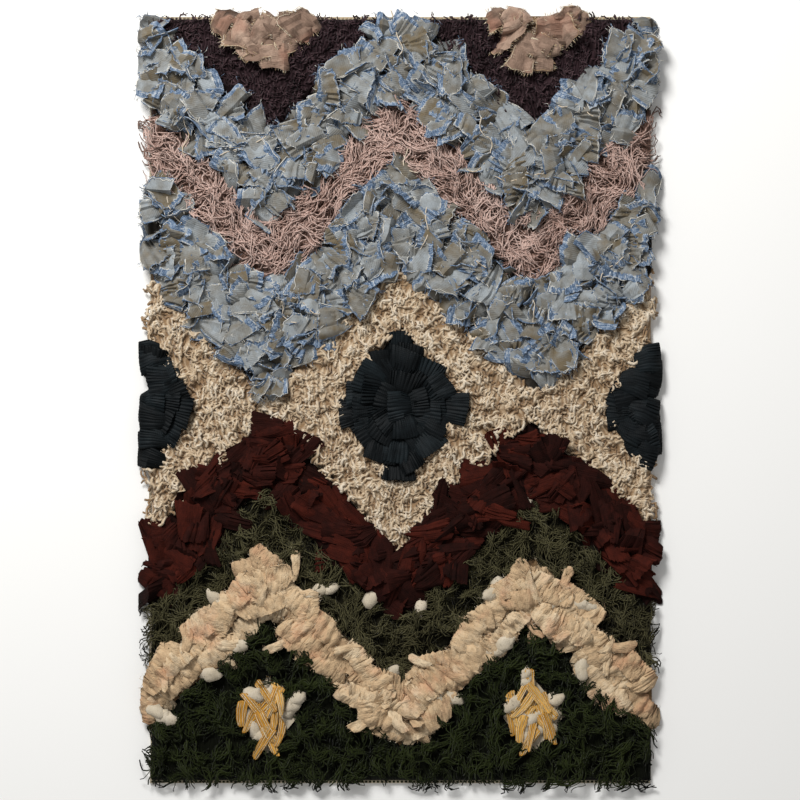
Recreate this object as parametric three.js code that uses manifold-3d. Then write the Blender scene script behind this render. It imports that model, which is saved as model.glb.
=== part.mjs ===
// A knotted rag rug that lies flat. A woven ground carries fields of cut rags and yarn tufts,
// laid out in zigzag bands and lozenges. Millimetres, +Z up, origin at the middle of the underside.
import * as THREE from "three";
import { mergeVertices } from "three/addons/utils/BufferGeometryUtils.js";
import Module from "manifold-3d";

const wasm = await Module();
wasm.setup();

// Driving dimensions
const GROUND_WIDTH = 635;
const GROUND_LENGTH = 968;
const GROUND_THICK = 4;
const RIM_REACH = 16; // how far the rim's locks and rags stand out past the ground
const SEAT_GAP = 0.3; // between the ground and the knots that stand on it
const FIELD_GAP = 0.5; // along Y, between one field of knots and the next
const REPEAT = 335; // across the rug, from one zigzag peak to the next
const RISE = 170; // along the rug, from a zigzag's valley to its peak
const CELL = REPEAT / 14; // pitch of the points that shape a field's lumpy top
const TIP = 8; // a field that runs to a point ends where it is this narrow
const RAG_THICK = 1.6;
const ROOT_DEPTH = 5; // how far a rag or lock is sunk in the pile that holds it
const LOCK_PITCH = 25; // along the rim, from one lock to the next
const SEED = 7; // of the unevenness of lengths and turns
const TRIES = 12; // turns that are tried to lay a rag over its own field

const SIDE = GROUND_WIDTH / 2;
const HEAD = GROUND_LENGTH / 2;
const SEAT = GROUND_THICK + SEAT_GAP;

// Zigzag edges, from the head of the rug down. middle: Y where the edge crosses X = 0.
// way: 1 where it falls away from there, -1 where it climbs. sway, phase: the weaver's wander.
const EDGES = {
  aubergineDenim: { middle: 500, way: 1, sway: 6, phase: 0.4 },
  denimPink: { middle: 395, way: 1, sway: 8, phase: 1.7 },
  pinkDenim: { middle: 300, way: 1, sway: 8, phase: 2.9 },
  denimCream: { middle: 178, way: 1, sway: 6, phase: 4.1 },
  creamMaroon: { middle: -192, way: -1, sway: 6, phase: 5.2 },
  maroonOlive: { middle: -280, way: -1, sway: 8, phase: 0.9 },
  olivePeach: { middle: -370, way: -1, sway: 6, phase: 2.2 },
  peachGreen: { middle: -437, way: -1, sway: 6, phase: 3.5 },
};

// Lozenges set into a field. x, y: middle.
const LOZENGES = {
  black: { x: 0, y: -7, halfWidth: 76, halfHeight: 98 },
  peach: { x: REPEAT / 2, y: HEAD, halfWidth: 62, halfHeight: 66 },
  yellow: { x: REPEAT / 2, y: -398, halfWidth: 40, halfHeight: 48 },
};

// What the fields are knotted from. pile: height of the lumpy top over the ground's face.
// lump: how far that top rises and dips. rim: what stands out of it at the edge of the rug.
const STUFFS = {
  aubergine: { pile: 10, lump: 0.8, rim: "lock", colour: "#35282a", roughness: 0.98 },
  denim: { pile: 10, lump: 1.5, rim: "rag", colour: "#8f949b", roughness: 0.9 },
  pink: { pile: 13, lump: 2.5, rim: "lock", colour: "#9d8379", roughness: 0.95 },
  cream: { pile: 13, lump: 2, rim: "lock", colour: "#b7a487", roughness: 0.95 },
  black: { pile: 9, lump: 1, rim: "rag", colour: "#1c2123", roughness: 0.8 },
  maroon: { pile: 9, lump: 1.5, rim: "rag", colour: "#3a1b16", roughness: 0.9 },
  olive: { pile: 13, lump: 2.5, rim: "lock", colour: "#3a3826", roughness: 0.97 },
  peach: { pile: 9, lump: 1.5, rim: "rag", colour: "#b99a78", roughness: 0.95 },
  green: { pile: 14, lump: 2.5, rim: "lock", colour: "#22260f", roughness: 0.97 },
  yellow: { pile: 8, lump: 0.5, rim: "rag", colour: "#b98a3c", roughness: 0.85 },
};

// The rags that stand out of a field's top: rows across the field, pitch along X, size, ridges
// pleated or folded along the rag, how high its free end is lifted, and which way it points from
// the run of its band, give or take the spread.
const RAGS = {
  denim: { rows: 2, pitch: 27, length: 38, width: 30, ridges: 0, lift: 9, turn: 0, spread: 180 },
  black: { rows: 5, pitch: 25, length: 32, width: 24, ridges: 4, lift: 8, turn: -90, spread: 60 },
  maroon: { rows: 1, pitch: 23, length: 42, width: 22, ridges: 2, lift: 8, turn: 0, spread: 180 },
  peach: { rows: 1, pitch: 25, length: 32, width: 25, ridges: 0, lift: 8, turn: 0, spread: 180 },
  yellow: { rows: 1, pitch: 13, length: 42, width: 10, ridges: 3, lift: 6, turn: 90, spread: 15 },
};
const RIM_RAG = { length: 26, width: 20, lift: 3, sink: 1 };
const RIM_LOCK = { root: 4.6, tip: 2.2, droop: 3 };
const RIM_HEIGHT = 0.55; // where on the pile's height the rim's locks and rags are rooted
const RIDGE_HEIGHT = 1.8;

const zigzag = (x) => {
  const along = THREE.MathUtils.euclideanModulo(x, REPEAT) / (REPEAT / 2);
  return along > 1 ? 2 - along : along;
};

// The sway of a line drawn by hand, between -1 and 1.
const wander = (x, phase) =>
  0.6 * Math.sin((2 * Math.PI * x) / (0.63 * REPEAT) + phase) +
  0.4 * Math.sin((2 * Math.PI * x) / (0.29 * REPEAT) + 2.3 * phase);

const swayingLine = ({ middle, way, sway, phase }) => (x) =>
  middle - way * RISE * zigzag(x) + sway * wander(x, phase);

// An edge runs straight from one cell to the next, so that both its fields share its corners.
const edgeLine = (edge) => (x) => {
  const line = swayingLine(edge);
  const cell = Math.floor(x / CELL);
  return THREE.MathUtils.lerp(line(cell * CELL), line((cell + 1) * CELL), x / CELL - cell);
};

const above = (edge) => (x) => edgeLine(edge)(x) + FIELD_GAP / 2;
const below = (edge) => (x) => Math.min(HEAD, edgeLine(edge)(x) - FIELD_GAP / 2);
const head = () => HEAD;
const foot = () => -HEAD;

const uneven = () => 2 * THREE.MathUtils.seededRandom() - 1;
THREE.MathUtils.seededRandom(SEED);

// The stretch of a field between its first and last place wider than its tip.
function stretchOf(lower, upper, from, to) {
  const steps = 2000;
  const wide = [];
  for (let i = 0; i <= steps; i++) {
    const x = THREE.MathUtils.lerp(from, to, i / steps);
    if (upper(x) - lower(x) >= TIP) wide.push(x);
  }
  return [wide[0], wide[wide.length - 1]];
}

// Where a field's points stand across the rug: both ends, and every cell between them.
function columnsOf(from, to) {
  const columns = [from];
  for (let i = Math.floor(from / CELL) + 1; i * CELL < to; i++) columns.push(i * CELL);
  return [...columns, to];
}

// A closed slab between two lines, with a flat underside and its own top surface.
function slab({ lower, upper, from, to }, base, topAt) {
  const columns = columnsOf(from, to);
  const deepest = Math.max(...columns.map((x) => upper(x) - lower(x)));
  const rows = Math.max(1, Math.round(deepest / CELL));
  const points = [];
  for (const x of columns) {
    for (let row = 0; row <= rows; row++) {
      const y = THREE.MathUtils.lerp(lower(x), upper(x), row / rows);
      points.push(new THREE.Vector3(x, y, topAt(x, y)));
    }
  }
  const at = (column, row) => column * (rows + 1) + row;
  const last = columns.length - 1;
  const faces = [];
  for (let column = 0; column < last; column++) {
    for (let row = 0; row < rows; row++) {
      const [a, b] = [at(column, row), at(column + 1, row)];
      faces.push([a, b, b + 1], [a, b + 1, a + 1]);
    }
  }
  const rim = [];
  for (let column = 0; column < last; column++) rim.push(at(column, 0));
  for (let row = 0; row < rows; row++) rim.push(at(last, row));
  for (let column = last; column > 0; column--) rim.push(at(column, rows));
  for (let row = rows; row > 0; row--) rim.push(at(0, row));
  const under = points.length;
  rim.forEach((i) => points.push(new THREE.Vector3(points[i].x, points[i].y, base)));
  rim.forEach((top, i) => {
    const next = (i + 1) % rim.length;
    faces.push([under + i, under + next, rim[next]], [under + i, rim[next], top]);
  });
  const outline = rim.map((i) => new THREE.Vector2(points[i].x, points[i].y));
  for (const [a, b, c] of THREE.ShapeUtils.triangulateShape(outline, [])) {
    faces.push([under + a, under + c, under + b]);
  }
  return solidFrom(points.flatMap((p) => p.toArray()), faces.flat());
}

function solidFrom(coordinates, corners) {
  const vertProperties = new Float32Array(coordinates);
  const triVerts = new Uint32Array(corners);
  return new wasm.Manifold(new wasm.Mesh({ numProp: 3, vertProperties, triVerts }));
}

function solidOf(geometry) {
  geometry.deleteAttribute("normal");
  geometry.deleteAttribute("uv");
  const merged = mergeVertices(geometry);
  return solidFrom(merged.attributes.position.array, merged.index.array);
}

// The dips and rises of tufts that lean on each other.
const lumps = (x, y) =>
  Math.sin((2 * Math.PI * (0.8 * x + 0.6 * y)) / 57) *
  Math.sin((2 * Math.PI * (0.6 * x - 0.8 * y)) / 49 + 0.7);

const topOf = (stuff) => (x, y) => SEAT + stuff.pile + stuff.lump * lumps(x, y);

// A cut rag along X, sunk in the pile at one end and curling up to its free end.
function curledRag({ length, width, lift, sink = ROOT_DEPTH }) {
  const line = [
    [-length / 2, -sink],
    [0, 0.55 * lift],
    [length / 2, lift],
  ];
  const face = line.map(([along, up]) => new THREE.Vector2(along, up + RAG_THICK / 2));
  const back = line.map(([along, up]) => new THREE.Vector2(along, up - RAG_THICK / 2));
  const section = new THREE.Shape([...back, ...face.reverse()]);
  const rag = new THREE.ExtrudeGeometry(section, { depth: width, bevelEnabled: false });
  return rag.rotateX(Math.PI / 2).translate(0, width / 2, 0);
}

// A rag along X with pleats or folds that run along it, tilted up from its sunk end.
function ridgedRag({ length, width, ridges, lift }) {
  const pitch = width / ridges;
  const face = [];
  for (let i = 0; i < ridges; i++) {
    face.push(new THREE.Vector2(i * pitch, RAG_THICK));
    face.push(new THREE.Vector2((i + 0.5) * pitch, RAG_THICK + RIDGE_HEIGHT));
  }
  face.push(new THREE.Vector2(width, RAG_THICK));
  const back = [new THREE.Vector2(0, 0), new THREE.Vector2(width, 0)];
  const section = new THREE.Shape([...back, ...face.reverse()]);
  const rag = new THREE.ExtrudeGeometry(section, { depth: length, bevelEnabled: false });
  const tilt = Math.atan2(lift + ROOT_DEPTH, length);
  rag.rotateX(Math.PI / 2).rotateZ(Math.PI / 2).translate(-length / 2, -width / 2, 0);
  return rag.rotateY(-tilt).translate(0, 0, (lift - ROOT_DEPTH) / 2);
}

const ragOf = (rag) => (rag.ridges ? ridgedRag(rag) : curledRag(rag));

// A lock of yarn along X from the rim: four-sided, tapered and drooping.
function lockOf(reach) {
  const length = ROOT_DEPTH + reach;
  const lock = new THREE.CylinderGeometry(RIM_LOCK.tip, RIM_LOCK.root, length, 4, 2);
  lock.rotateZ(-Math.PI / 2).translate(length / 2 - ROOT_DEPTH, 0, 0);
  const place = lock.attributes.position;
  for (let i = 0; i < place.count; i++) {
    const out = Math.max(0, place.getX(i) / reach);
    place.setZ(i, place.getZ(i) - RIM_LOCK.droop * out * out);
  }
  return lock;
}

const insideOf = ({ lower, upper, from, to }, x, y, clear) =>
  x > from + clear && x < to - clear && y > lower(x) + clear && y < upper(x) - clear;

const SHARES = [-0.5, -0.25, 0, 0.25, 0.5];

// True if a rag lies over its own field, from corner to corner.
function fits(field, cuts, rag, x, y, yaw) {
  const [c, s] = [Math.cos(yaw), Math.sin(yaw)];
  for (const along of SHARES) {
    for (const across of SHARES) {
      const px = x + along * rag.length * c - across * rag.width * s;
      const py = y + along * rag.length * s + across * rag.width * c;
      if (!insideOf(field, px, py, 2)) return false;
      if (cuts.some((cut) => insideOf(cut, px, py, -2))) return false;
    }
  }
  return true;
}

// Rags in rows along a field. Each is turned its own way, till it lies over its field.
function ragsOn(field, cuts, stuff, rag) {
  const middle = (x) => (field.lower(x) + field.upper(x)) / 2;
  const made = [];
  for (let row = 0; row < rag.rows; row++) {
    const share = (row + 0.5) / rag.rows;
    const first = field.from + rag.pitch * (0.2 + 0.5 * (row % 2));
    for (let x = first; x < field.to; x += rag.pitch) {
      const y = THREE.MathUtils.lerp(field.lower(x), field.upper(x), share);
      const run = Math.atan2(middle(x + 1) - middle(x - 1), 2);
      const size = { ...rag, lift: rag.lift * (1 + 0.25 * uneven()) };
      const turned = () => run + THREE.MathUtils.degToRad(rag.turn + rag.spread * uneven());
      const turns = Array.from({ length: TRIES }, turned);
      const yaw = turns.find((turn) => fits(field, cuts, size, x, y, turn));
      if (yaw === undefined) continue;
      made.push(ragOf(size).rotateZ(yaw).translate(x, y, topOf(stuff)(x, y)));
    }
  }
  return made;
}

// Places round the rim of the rug, with the way out from each.
function rimPlaces() {
  const places = [];
  const walk = (length, placeAt) => {
    const count = Math.floor(length / LOCK_PITCH);
    for (let i = 0; i < count; i++) placeAt(((i + 0.5) / count - 0.5) * length);
  };
  walk(GROUND_WIDTH, (x) => places.push({ x, y: HEAD, yaw: Math.PI / 2 }));
  walk(GROUND_WIDTH, (x) => places.push({ x, y: -HEAD, yaw: -Math.PI / 2 }));
  walk(GROUND_LENGTH, (y) => places.push({ x: SIDE, y, yaw: 0 }));
  walk(GROUND_LENGTH, (y) => places.push({ x: -SIDE, y, yaw: Math.PI }));
  return places;
}

// True if what is rooted at a place on the rim lies over one field as far as it reaches in.
function rimFits(field, cuts, { x, y, yaw }, { inward, half }) {
  const [c, s] = [Math.cos(yaw), Math.sin(yaw)];
  for (const back of [1, inward]) {
    for (const across of [-half, 0, half]) {
      const [px, py] = [x - back * c - across * s, y - back * s + across * c];
      if (!insideOf(field, px, py, 0.5)) return false;
      if (cuts.some((cut) => insideOf(cut, px, py, -0.5))) return false;
    }
  }
  return true;
}

// What stands out past the edge of the rug where a field reaches it.
function rimOf(field, cuts, stuff) {
  const isLock = stuff.rim === "lock";
  const lockRoom = { inward: ROOT_DEPTH, half: RIM_LOCK.root };
  const ragRoom = { inward: RIM_RAG.length, half: RIM_RAG.width / 2 };
  const room = isLock ? lockRoom : ragRoom;
  const made = [];
  for (const place of RIM_PLACES.filter((spot) => rimFits(field, cuts, spot, room))) {
    const reach = RIM_REACH * (0.82 + 0.18 * uneven());
    const out = isLock ? 0 : reach - RIM_RAG.length / 2;
    const piece = isLock ? lockOf(reach) : curledRag(RIM_RAG);
    piece.translate(out, 0, SEAT + RIM_HEIGHT * stuff.pile);
    made.push(piece.rotateZ(place.yaw).translate(place.x, place.y, 0));
  }
  return made;
}

const lozengeField = ({ x, y, halfWidth, halfHeight }, grow = 0) => {
  const half = (at) => (halfHeight + grow) * (1 - Math.abs(at - x) / (halfWidth + grow));
  const lower = (at) => Math.max(-HEAD, y - half(at));
  const upper = (at) => Math.min(HEAD, y + half(at));
  const from = Math.max(-SIDE, x - halfWidth - grow);
  const to = Math.min(SIDE, x + halfWidth + grow);
  return fieldOf(lower, upper, from, to);
};

function fieldOf(lower, upper, from = -SIDE, to = SIDE) {
  const [first, last] = stretchOf(lower, upper, from, to);
  return { lower, upper, from: first, to: last };
}

const moved = (lozenge, x) => ({ ...lozenge, x });

// The space that a lozenge takes out of the field around it, right through the pile.
function cutterOf(lozenge) {
  const hole = lozengeField(lozenge, FIELD_GAP);
  const past = (line, by) => (x) => (Math.abs(line(x)) >= HEAD ? line(x) + by : line(x));
  const open = { ...hole, lower: past(hole.lower, -1), upper: past(hole.upper, 1) };
  if (open.from <= -SIDE) open.from = -SIDE - 1;
  if (open.to >= SIDE) open.to = SIDE + 1;
  return slab(open, 0, () => SEAT + 60);
}

const rug = new THREE.Group();
const RIM_PLACES = rimPlaces();

function addNode(name, solid, { colour, roughness }) {
  const { vertProperties, triVerts } = solid.getMesh();
  const geometry = new THREE.BufferGeometry();
  geometry.setAttribute("position", new THREE.BufferAttribute(vertProperties, 3));
  geometry.setIndex(new THREE.BufferAttribute(triVerts, 1));
  geometry.computeVertexNormals();
  const material = new THREE.MeshStandardMaterial({ color: colour, roughness, metalness: 0 });
  const mesh = new THREE.Mesh(geometry, material);
  mesh.name = name;
  rug.add(mesh);
}

// One field of knots: its lumpy slab less what is set into it, its rags, and its share of the rim.
function addField(name, stuffName, field, lozenges = []) {
  const stuff = STUFFS[stuffName];
  const cuts = lozenges.map((lozenge) => lozengeField(lozenge, FIELD_GAP));
  let solid = slab(field, SEAT, topOf(stuff));
  for (const lozenge of lozenges) solid = solid.subtract(cutterOf(lozenge));
  const rag = RAGS[stuffName];
  const standing = rag ? ragsOn(field, cuts, stuff, rag) : [];
  standing.push(...rimOf(field, cuts, stuff));
  for (const piece of standing) solid = solid.add(solidOf(piece));
  addNode(name, solid, stuff);
}

// The woven ground
const ground = new THREE.BoxGeometry(GROUND_WIDTH, GROUND_LENGTH, GROUND_THICK);
ground.translate(0, 0, GROUND_THICK / 2);
addNode("ground_weave", solidOf(ground), { colour: "#b5ab95", roughness: 0.95 });

// Lozenges, which repeat across the rug as the zigzags do
const blacks = [0, -REPEAT, REPEAT].map((x) => moved(LOZENGES.black, x));
const peaches = [-1, 1].map((side) => moved(LOZENGES.peach, (side * REPEAT) / 2));
const yellows = [-1, 1].map((side) => moved(LOZENGES.yellow, (side * REPEAT) / 2));
const [LEFT, RIGHT] = [0, 1];

addField("black_rags_middle", "black", lozengeField(blacks[0]));
addField("black_rags_left", "black", lozengeField(blacks[1]));
addField("black_rags_right", "black", lozengeField(blacks[2]));
addField("peach_rags_left", "peach", lozengeField(peaches[LEFT]));
addField("peach_rags_right", "peach", lozengeField(peaches[RIGHT]));
addField("yellow_strips_left", "yellow", lozengeField(yellows[LEFT]));
addField("yellow_strips_right", "yellow", lozengeField(yellows[RIGHT]));

// Fields and bands, from the head of the rug down
const E = EDGES;
const aubergineLeft = fieldOf(above(E.aubergineDenim), head, -REPEAT, 0);
const aubergineRight = fieldOf(above(E.aubergineDenim), head, 0, REPEAT);
addField("aubergine_pile_left", "aubergine", aubergineLeft, [peaches[LEFT]]);
addField("aubergine_pile_right", "aubergine", aubergineRight, [peaches[RIGHT]]);
addField("denim_rags_upper", "denim", fieldOf(above(E.denimPink), below(E.aubergineDenim)));
addField("pink_yarn", "pink", fieldOf(above(E.pinkDenim), below(E.denimPink)));
addField("denim_rags_lower", "denim", fieldOf(above(E.denimCream), below(E.pinkDenim)));
addField("cream_yarn", "cream", fieldOf(above(E.creamMaroon), below(E.denimCream)), blacks);
addField("maroon_rags", "maroon", fieldOf(above(E.maroonOlive), below(E.creamMaroon)));
addField("olive_yarn", "olive", fieldOf(above(E.olivePeach), below(E.maroonOlive)));
addField("peach_rags_band", "peach", fieldOf(above(E.peachGreen), below(E.olivePeach)));
addField("green_yarn", "green", fieldOf(foot, below(E.peachGreen)), yellows);

export default rug;
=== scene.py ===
"""A knotted rag rug on a plain floor: the looks of its woven ground, cut rags and yarn."""

import math

import bmesh
import bpy
import numpy as np
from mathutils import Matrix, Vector
from mathutils.bvhtree import BVHTree


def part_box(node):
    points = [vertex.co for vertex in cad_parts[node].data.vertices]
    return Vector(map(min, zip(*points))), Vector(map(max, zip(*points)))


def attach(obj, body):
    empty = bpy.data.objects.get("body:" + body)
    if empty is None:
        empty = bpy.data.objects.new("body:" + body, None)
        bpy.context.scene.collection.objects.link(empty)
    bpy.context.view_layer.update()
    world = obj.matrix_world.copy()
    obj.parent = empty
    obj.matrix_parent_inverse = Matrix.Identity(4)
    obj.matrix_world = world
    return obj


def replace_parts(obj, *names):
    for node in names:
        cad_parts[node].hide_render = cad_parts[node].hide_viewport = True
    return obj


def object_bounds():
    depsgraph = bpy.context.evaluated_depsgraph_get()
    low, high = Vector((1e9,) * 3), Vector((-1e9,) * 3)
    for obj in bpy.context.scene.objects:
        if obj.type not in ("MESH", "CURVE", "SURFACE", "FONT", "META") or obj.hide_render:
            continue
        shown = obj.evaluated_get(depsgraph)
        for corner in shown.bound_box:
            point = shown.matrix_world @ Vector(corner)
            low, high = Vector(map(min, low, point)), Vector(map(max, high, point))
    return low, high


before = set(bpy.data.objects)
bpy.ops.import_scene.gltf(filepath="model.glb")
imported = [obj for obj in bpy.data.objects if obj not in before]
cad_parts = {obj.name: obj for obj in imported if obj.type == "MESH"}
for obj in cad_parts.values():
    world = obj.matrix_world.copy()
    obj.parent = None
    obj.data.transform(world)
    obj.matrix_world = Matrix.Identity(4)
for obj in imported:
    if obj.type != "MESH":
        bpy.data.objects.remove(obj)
cad_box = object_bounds()


# Woven ground
# A weft-faced cloth of undyed wool on cotton warps, which every rag and yarn is knotted on.
# It lies flat, its long edges drawn in a little by the weft, and the knots' ties show on its back.

MM = 0.001
GROUND_LOW, GROUND_HIGH = (np.array(corner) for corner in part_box("ground_weave"))
SEAT = GROUND_HIGH[2]  # the top of the ground, which the knots stand on
GROUND_THICK = 3.6 * MM
GROUND_CELL = 18 * MM
EDGE_WAVER, EDGE_WAVE = 1.2 * MM, 31 * MM
WEFT_PITCH, WARP_PITCH = 4 * MM, 5 * MM
TIE_COLOURS = {
    "aubergine": "#35272a", "black": "#1d2224", "cream": "#b09a7c", "denim": "#7f868f",
    "green": "#22270f", "maroon": "#3c1a14", "olive": "#3b3a26", "peach": "#b99c7b",
    "pink": "#98817a", "yellow": "#b98d48",
}

# Every field of knots stands where its solid does, which is read from above on a fine grid.
FIELDS = sorted(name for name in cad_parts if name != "ground_weave")
BED_SHARE = 0.5  # the height of a field's bed of knots, as a share of its pile
MAP_STEP, MAP_MARGIN = 2 * MM, 40 * MM
MAP_LOW = np.array(cad_box[0][:2]) - MAP_MARGIN
MAP_SIZE = ((np.array(cad_box[1][:2]) + MAP_MARGIN - MAP_LOW) / MAP_STEP).astype(int) + 1


def read_fields():
    """Whose knots are at each place of the grid, as a number or -1, and how high their bed is."""
    points, faces, owners = [], [], []
    for number, name in enumerate(FIELDS):
        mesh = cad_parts[name].data
        first = len(points)
        points += [vertex.co.copy() for vertex in mesh.vertices]
        for polygon in mesh.polygons:
            faces.append([first + corner for corner in polygon.vertices])
            owners.append(number)
    tree = BVHTree.FromPolygons(points, faces)
    owner = np.full(MAP_SIZE, -1)
    height = np.zeros(MAP_SIZE)
    for column in range(MAP_SIZE[0]):
        for row in range(MAP_SIZE[1]):
            x, y = MAP_LOW + MAP_STEP * np.array((column, row))
            hit, _, face, _ = tree.ray_cast(Vector((x, y, 1)), Vector((0, 0, -1)))
            if hit is not None:
                owner[column, row] = owners[face]
                height[column, row] = SEAT + BED_SHARE * (hit.z - SEAT)
    return owner, height


OWNER, BED = read_fields()


def cells_at(places):
    """The grid cells of an array of places, as a column array and a row array."""
    cells = np.round((places[..., :2] - MAP_LOW) / MAP_STEP).astype(int)
    cells = np.clip(cells, 0, MAP_SIZE - 1)
    return cells[..., 0], cells[..., 1]


def linear(colour):
    """An sRGB hex colour as linear red, green, blue and alpha."""
    parts = [int(colour[at : at + 2], 16) / 255 for at in (1, 3, 5)]
    return [p / 12.92 if p <= 0.04045 else ((p + 0.055) / 1.055) ** 2.4 for p in parts] + [1]


def add(material, kind, inputs=None, **settings):
    """Adds a node with its settings, and its inputs set to values or linked to outputs."""
    node = material.node_tree.nodes.new(kind)
    for key, value in settings.items():
        setattr(node, key, value)
    for key, value in (inputs or {}).items():
        if isinstance(value, bpy.types.NodeSocket):
            material.node_tree.links.new(value, node.inputs[key])
        else:
            node.inputs[key].default_value = value
    return node


def started(name):
    """A new material with no nodes in it yet."""
    material = bpy.data.materials.new(name)
    material.use_nodes = True
    material.node_tree.nodes.clear()
    return material


def finished(material, colour, normal, roughness, sheen):
    """A material of dull fibre: hardly any gloss, and a sheen where fine ends stand up."""
    surface = add(material, "ShaderNodeBsdfPrincipled", {
        "Base Color": colour, "Normal": normal, "Roughness": roughness, "IOR": 1.5,
        "Specular IOR Level": 0.1, "Sheen Weight": sheen, "Sheen Roughness": 0.5,
    })
    add(material, "ShaderNodeOutputMaterial", {"Surface": surface.outputs["BSDF"]})
    return material


LINES = 0.314  # the scale at which a wave texture draws lines 1 m apart


def ground_cloth():
    """Weft-faced wool: thick picks ride over the warps, and the ties of the knots come through."""
    material = started("undyed_wool_weave")
    place = add(material, "ShaderNodeTexCoord").outputs["Object"]
    weft = add(material, "ShaderNodeTexWave", {
        "Vector": place, "Scale": LINES / WEFT_PITCH, "Distortion": 1.2, "Detail": 2.0,
    }, bands_direction="Y")
    warp = add(material, "ShaderNodeTexWave", {
        "Vector": place, "Scale": LINES / WARP_PITCH, "Distortion": 1.5, "Detail": 2.0,
    }, bands_direction="X")
    weave = add(material, "ShaderNodeMath", {0: weft.outputs["Fac"], 1: warp.outputs["Fac"]},
                operation="MULTIPLY")
    tone = add(material, "ShaderNodeTexNoise", {"Vector": place, "Scale": 1 / (30 * MM)})
    wool = add(material, "ShaderNodeMix", {
        "Factor": tone.outputs["Fac"], 6: linear("#8f836c"), 7: linear("#c9bda4"),
    }, data_type="RGBA")
    ties = add(material, "ShaderNodeAttribute", attribute_name="ties")
    shown = add(material, "ShaderNodeMapRange", {
        "Value": weave.outputs["Value"], "From Min": 0.18, "From Max": 0.34,
    })
    colour = add(material, "ShaderNodeMix", {
        "Factor": shown.outputs["Result"], 6: wool.outputs[2], 7: ties.outputs["Color"],
    }, data_type="RGBA")
    bump = add(material, "ShaderNodeBump", {
        "Height": weave.outputs["Value"], "Strength": 0.8, "Distance": 1.2 * MM,
    })
    return finished(material, colour.outputs[2], bump.outputs["Normal"], roughness=0.95, sheen=0.2)


def placed(name, mesh, material, node=None):
    """An object for a finished mesh, riding on the rug and standing for a solid if one is named."""
    piece = bpy.data.objects.new(name, mesh)
    bpy.context.scene.collection.objects.link(piece)
    mesh.materials.clear()
    mesh.materials.append(material)
    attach(piece, "root")
    if node:
        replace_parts(piece, node)
    return piece


def ground_mesh():
    """A flat cloth whose long edges waver, with its underside on the floor."""
    width, length = (GROUND_HIGH - GROUND_LOW)[:2]
    shape = bmesh.new()
    columns, rows = round(width / GROUND_CELL), round(length / GROUND_CELL)
    bmesh.ops.create_grid(shape, x_segments=columns, y_segments=rows, size=0.5)
    bmesh.ops.scale(shape, vec=(width - 2 * EDGE_WAVER, length, 1), verts=shape.verts)
    for vertex in shape.verts:
        across = 2 * vertex.co.x / width
        vertex.co.x += across * EDGE_WAVER * math.sin(vertex.co.y / EDGE_WAVE)
    bmesh.ops.solidify(shape, geom=shape.faces[:], thickness=GROUND_THICK)
    lowest = min(vertex.co.z for vertex in shape.verts)
    bmesh.ops.translate(shape, vec=(0, 0, -lowest), verts=shape.verts)
    bmesh.ops.recalc_face_normals(shape, faces=shape.faces[:])
    mesh = bpy.data.meshes.new("ground_cloth")
    shape.to_mesh(mesh)
    shape.free()
    return mesh


mesh = ground_mesh()
ties = mesh.attributes.new("ties", "FLOAT_COLOR", "POINT")
for vertex, tie in zip(mesh.vertices, ties.data):
    owner = OWNER[cells_at(np.array(vertex.co))]
    stuff = FIELDS[owner].split("_")[0] if owner >= 0 else "cream"
    tie.color = linear(TIE_COLOURS[stuff])
ground = placed("ground_cloth", mesh, ground_cloth(), "ground_weave")


# Denim rags
# Cut pieces of coated blue denim, 30 to 60 mm across, some knotted in at their middle and some
# gathered in a fan. The coat is pale grey, and blue threads fray out of the raw edges and the back.

UNFOLDED = {"sway": 0.0, "open": 0.0, "over": 0.0, "pleat": 0.0, "waver": 0.35, "creases": (0, 0)}
DENIM = {
    **UNFOLDED, "length": (32 * MM, 50 * MM), "width": (26 * MM, 42 * MM), "thick": 1.2 * MM,
    "columns": 8, "rows": 7, "border": 0.15, "skew": 0.3, "round": 0.06, "jag": 0.8 * MM,
    "gather": 1.0, "curl": (-25, 25), "dome": 1.4 * MM, "crumple": 1.5 * MM, "wave": 21 * MM,
    "creases": (1, 3), "crease": (20, 75), "sharp": 19,
    "spacing": 20 * MM, "inset": 3 * MM, "tilt": (4, 42), "fill": 15 * MM, "fill_tilt": (0, 20),
    "frays": (15, (2.5 * MM, 9 * MM), 0.35),
}
BUNCH = {
    **DENIM, "width": (36 * MM, 60 * MM), "columns": 15, "rows": 6, "border": 0.08, "round": 0.1,
    "gather": 0.4, "sway": 4 * MM, "curl": (-70, -10), "dome": 4 * MM, "crumple": 1.8 * MM,
    "wave": 26 * MM, "pleat": 3.2 * MM, "pleat_pitch": 12 * MM, "pleated": (0.5, 1.3),
    "waver": 0.3, "creases": (0, 0), "sharp": 40, "tilt": (5, 40),
}
FLAT_SHARE = 0.42  # the share of the rags laid first that are flat, the others being gathered
BLUE_SHARE = 0.6  # the share of frayed threads that are blue, the others being white
TOP_OF_RAGS = 30 * MM
LOWEST = 1.5 * MM  # the least height of a rag over the ground, and past its edge over the floor
SETTLED = 70  # the per cent of a rag's places that stay clear of what it is laid on
ROLL_STEPS, FOLD_RADIUS = 161, 1.5 * MM
HEIGHT = BED.copy()  # how high rags and yarn lie so far at each place of the grid


def in_fields(places, names):
    """Which of some places lie over some fields."""
    return np.isin(OWNER[cells_at(places)], [FIELDS.index(name) for name in names])


def scattered(rng, names, spacing, inset):
    """Places over some fields, one in each square of a grid, and inset from the rug's edge."""
    low, high = GROUND_LOW[:2] + inset, GROUND_HIGH[:2] - inset
    x, y = np.meshgrid(np.arange(low[0], high[0], spacing), np.arange(low[1], high[1], spacing))
    places = np.stack((x.ravel(), y.ravel()), axis=-1)
    places = places + rng.uniform(0, spacing, places.shape)
    inside = np.all(places < high, axis=-1) & in_fields(places, names)
    return rng.permutation(places[inside])


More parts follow.
